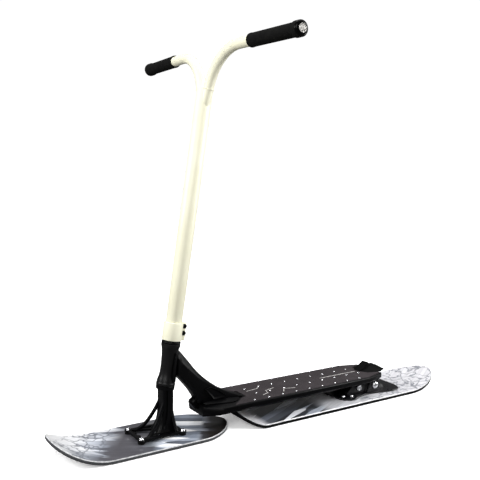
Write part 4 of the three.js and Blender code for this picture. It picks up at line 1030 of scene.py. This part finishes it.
def neck_shoulder(side):
    """A framed plate on the neck's side over a low sloping foot that spreads onto the deck."""
    frame_depth = 4.6
    inner = [(-99, 58.75), (-99, 63), (-124, 66), (-158, 65), (-193, 60.6), (-193, 58.75)]
    outer = [(-104, 25, 58.75), (-105, 25, 60.6), (-126, 32, 61), (-160, 42, 61), (-180, 35, 60.2),
             (-182, 35, 58.75)]
    foot = carried([[point(x, side * (NECK_HALF + 0.1), z) for x, z in inner],
                    [point(x, side * y, z) for x, y, z in outer]])
    bevelled(foot, 0.6, 2, 25)
    outline = [(-102, 94), (-118, 96), (-132, 89), (-148, 78.5), (-160, 69), (-125, 67.5)]
    inside = [point(x, side * (NECK_HALF - 0.1), z) for x, z in outline]
    framed = slab(inside, point(0, side * frame_depth, 0))
    open_up(framed)
    pick_faces(framed, lambda at, normal: abs(at.y) > 23)
    bpy.ops.mesh.inset(thickness=3.4 * MM)
    bpy.ops.transform.translate(value=point(0, -side * 1.8, 0))
    shut()
    return joined([bevelled(framed, 0.5, 2, 30), foot])


fitted(nosed_deck(), "hollow_deck", "chassis", BLACK, "deck")
fitted(placed(neck(), level_place), "swept_neck", "chassis", BLACK, "neck", smooth=30)
fitted(placed(nose_block(), level_place), "deck_nose_block", "chassis", BLACK)
for side_name, side in SIDES:
    fitted(placed(neck_shoulder(side), level_place), side_name + "_gusset", "chassis", BLACK,
           side_name + "_neck_shoulder", smooth=20)

# Traction sheet

STUD_PITCH = 39.6
STUD_COUNT = 9
# Each row of studs, by its distance to the left and its first stud's place.
STUD_ROWS = ((54, -212), (19, -240.5), (-19, -232.4), (-54, -219.8))


def deck_line(path, width):
    """A thin printed line along a path, on the sheet."""
    sides = ([], [])
    for i, (x, y) in enumerate(path):
        before, after = path[max(i - 1, 0)], path[min(i + 1, len(path) - 1)]
        run = Vector((after[0] - before[0], after[1] - before[1])).normalized() * (width / 2)
        sides[0].append((x - run.y, y + run.x))
        sides[1].append((x + run.y, y - run.x))
    return plate(sides[0] + sides[1][::-1], SHEET_TOP - 0.2, SHEET_TOP + 0.15)


sheet_half = [(-212, 21.5), (-197, 25), (-184, 36), (-158, 58), (-560, 58), (-611.5, 42.5)]
sheet_outline = sheet_half + [(x, -y) for x, y in sheet_half[::-1]]
sheet = bevelled(plate(sheet_outline, DECK_TOP, SHEET_TOP), 0.3, 2, 30)
fitted(placed(sheet, level_place), "grit_sheet", "chassis", GRIT, "traction_sheet")

stud = spun([(0, 59.5), (2.3, 59.5), (2.3, 60.6), (2.1, 61.4), (1.6, 62), (0.9, 62.3), (0, 62.4)], 18)
stud_places = [level_place @ moved(first - STUD_PITCH * i, across, 0)
               for across, first in STUD_ROWS for i in range(STUD_COUNT)]
fitted(joined(repeated(stud, stud_places)), "traction_studs", "chassis", ZINC)

# A plain stripe and three angular strokes.
stripe = deck_line([(-445, 3), (-560, 3)], 2.2)
strokes = [deck_line(path, 1.6) for path in ([(-250, 34), (-268, 28), (-272, 12), (-301, 4)],
                                             [(-306, 38), (-318, 22), (-346, 30)],
                                             [(-230, -6), (-262, -10), (-281, -28)])]
fitted(placed(joined([stripe] + strokes), level_place), "deck_line_marks", "chassis", MARKS)

# Foot stop

stop = refined("foot_stop")
# The ramp's front face is divided into small squares, so that its middle is shaded flat between its bevels.
open_up(stop)
pick_faces(stop, lambda at, normal: normal.x > 0.4 and normal.z > 0.4 and abs(normal.y) < 0.05)
bpy.ops.mesh.subdivide(number_cuts=7)
shut()
bevelled(stop, 0.6, 2, 40)
fitted(stop, "boot_stop", "chassis", NYLON, "foot_stop")

# Rear bracket

BRACKET_BOLT = (-541, 30)
REAR_AXLE = (-592, 31)


def across_place(at, side=1):
    """Where a bolt that points to a side lies, from its distance behind the axis foot and its height."""
    x, z = at
    return level_place @ moved(x, 0, z) @ turned(-side * QUARTER, "X")


def hexagon(radius, bottom, top, bore):
    """A hexagon nut on its washer face, its corners turned off."""
    middle = (top + bottom) / 2
    piece = placed(rod(6, radius, middle, top - bottom), moved(0, 0, middle))
    open_up(piece)
    pick_faces(piece, lambda at, normal: abs(normal.z) > 0.9)
    bpy.ops.mesh.inset(thickness=radius * 0.14 * MM)
    bpy.ops.mesh.select_all(action="DESELECT")
    shut()
    cut(piece, spun([(0, bottom - 1), (bore, bottom - 1), (bore, top + 1), (0, top + 1)], 32))
    return bevelled(piece, 0.5, 2, 25)


def axle_bolt():
    """A polished domed head on a long shank."""
    shank, head, start, rise, steps = 5, 9.4, 47, 6.5, 8
    profile = [(0, -51.8), (shank - 0.4, -51.8), (shank, -51.4), (shank, 45.3), (head, 45.3), (head, start)]
    for i in range(1, steps):
        angle = QUARTER * i / steps
        profile.append((head * math.cos(angle), start + rise * math.sin(angle)))
    return spun(profile + [(0, start + rise)], 64)


fitted(bevelled(refined("bracket_base_plate"), 0.8, 3, 50), "bracket_plate", "chassis",
       CASTING, "bracket_base_plate")
for side_name, side in SIDES:
    node = side_name + "_bracket_upright"
    fitted(bevelled(refined(node), 1.1, 3, 30), node + "_casting", "chassis", CASTING, node)
fitted(bevelled(refined("deck_hanger"), 0.8, 2, 50), "deck_hanger_block", "chassis", BLACK,
       "deck_hanger")

cross_bolt = joined([spun([(0, -44.8), (3.6, -44.8), (4, -44.4), (4, 44.4), (3.6, 44.8), (0, 44.8)], 32),
                     hexagon(7.5, -44.8, -38.3, 4.1)])
fitted(placed(cross_bolt, across_place(BRACKET_BOLT)), "bracket_cross_bolt", "chassis", ZINC,
       "front_bracket_bolt")
fitted(placed(hexagon(7.5, 38.3, 44.5, 4.3), across_place(BRACKET_BOLT)), "bracket_hex_nut", "chassis",
       ZINC, "front_bracket_nut")
fitted(placed(axle_bolt(), across_place(REAR_AXLE)), "domed_axle", "chassis", ZINC,
       "rear_axle_bolt")
fitted(placed(hexagon(8.6, 45.3, 51.5, 5.3), across_place(REAR_AXLE, -1)), "axle_hex_nut", "chassis",
       ZINC, "rear_axle_nut")

screw_rows = (("front", -495, 35, "bright_steel", ZINC), ("middle", -515, 43, "bright_steel", ZINC),
              ("rear", -628, 20, "black_steel", OXIDE))
screw_places = [level_place @ moved(x, side * half, 0) for row, x, half, slot, finish in screw_rows
                for side_name, side in SIDES]
screws = iter(repeated(socket_screw(3, 4.5, 3.5, 3.3, 13), screw_places))
for row, x, half, slot, finish in screw_rows:
    for side_name, side in SIDES:
        node = f"{side_name}_{row}_bracket_screw"
        fitted(next(screws), node + "_head", "chassis", finish, node)

# What stays as it is in the frame

for node, finish in (("steerer_tube", STEEL), ("compression_cap", OXIDE), ("compression_bolt", ZINC),
                     ("star_nut", STEEL), ("compression_ring", OXIDE), ("upper_bearing", STEEL),
                     ("lower_bearing", STEEL), ("foot_stop_screw", OXIDE)):
    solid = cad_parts[node]
    if solid.material_slots:
        for held in solid.material_slots:
            held.material = finish
    else:
        solid.data.materials.append(finish)

# Studio

clear_selection()
bpy.ops.mesh.primitive_plane_add(size=14, location=point(0, 0, -0.5))
floor = bpy.context.object
floor.name = "studio_floor"
# The sweep is seen as lit paper but sends the object only a little of its light back.
paper = new_finish("white paper sweep")
seen = add(paper, "ShaderNodeLightPath").outputs["Is Camera Ray"]
sweep = add(paper, "ShaderNodeMixRGB", {
    "Fac": seen, "Color1": linear("#6a6a6a"), "Color2": linear("#fbfbfb")})
lit = add(paper, "ShaderNodeMapRange", {"Value": seen, "To Max": 0.3})
surfaced(paper, "#fbfbfb", {"Roughness": 0.9, "Specular IOR Level": 0.0, "Emission Color": (1, 1, 1, 1)},
         {"Base Color": sweep, "Emission Strength": lit})
floor.data.materials.append(paper)

# The backdrop is seen as white paper, and gives the room only a dim fill, so black pieces stay black.
world = bpy.context.scene.world or bpy.data.worlds.new("studio")
bpy.context.scene.world = world
world.use_nodes = True
world.node_tree.nodes.clear()
rays = add(world, "ShaderNodeLightPath").outputs["Is Camera Ray"]
glow = add(world, "ShaderNodeMapRange", {"Value": rays, "To Min": 0.1, "To Max": 1.04})
backdrop = add(world, "ShaderNodeBackground", {"Color": (1, 1, 1, 1), "Strength": glow})
add(world, "ShaderNodeOutputWorld", {"Surface": backdrop})


def lamp(name, kind, location, target, settings):
    data = bpy.data.lights.new(name, kind)
    for key, value in settings.items():
        setattr(data, key, value)
    holder = bpy.data.objects.new(name, data)
    bpy.context.scene.collection.objects.link(holder)
    aim = (Vector(target) - Vector(location)).to_track_quat("-Z", "Y")
    holder.matrix_world = Matrix.Translation(Vector(location)) @ aim.to_matrix().to_4x4()


def soft_box(name, location, target, width, height, energy):
    lamp(name, "AREA", location, target,
         {"shape": "RECTANGLE", "size": width, "size_y": height, "energy": energy})


# One wide light from above whitens the floor. Boxes at the sides draw the black pieces' edges, and a fill
# from the camera's side lights the bar's front.
lamp("overhead", "SUN", (-0.5, -0.6, 3), (0, 0, 0), {"energy": 2.3, "angle": math.radians(60)})
soft_box("left_box", (2.25, -0.6, 1.4), (0.25, 0, 0.55), 0.6, 1.0, 42)
soft_box("right_box", (-1.55, 0.95, 1.4), (0.25, 0, 0.55), 0.6, 1.0, 44)
soft_box("back_strip", (-1.7, 0.7, 0.45), (0.2, 0, 0.15), 0.7, 0.5, 10)
soft_box("front_fill", (1.9, 1.9, 1.7), (0.2, 0, 0.5), 1.4, 1.4, 49)

bpy.context.scene.view_settings.view_transform = "Standard"

# The photograph's camera: where it stands, and how it is turned.
CAMERA_PLACE = (0.9219, 1.2598, 0.5638)
YAW, PITCH, ROLL = math.radians(-123.28), math.radians(-5.59), math.radians(0.8)
camera_data = bpy.data.cameras.new("photo_camera")
camera_data.sensor_width = 36
camera_data.lens = 50.45
camera = bpy.data.objects.new("photo_camera", camera_data)
bpy.context.scene.collection.objects.link(camera)
ahead = Vector((math.cos(YAW) * math.cos(PITCH), math.sin(YAW) * math.cos(PITCH), math.sin(PITCH)))
level_right = Vector((math.sin(YAW), -math.cos(YAW), 0))
level_up = level_right.cross(ahead)
right = level_right * math.cos(ROLL) + level_up * math.sin(ROLL)
up = level_up * math.cos(ROLL) - level_right * math.sin(ROLL)
facing = Matrix((right, up, -ahead)).transposed().to_4x4()
camera.matrix_world = Matrix.Translation(CAMERA_PLACE) @ facing
bpy.context.scene.camera = camera
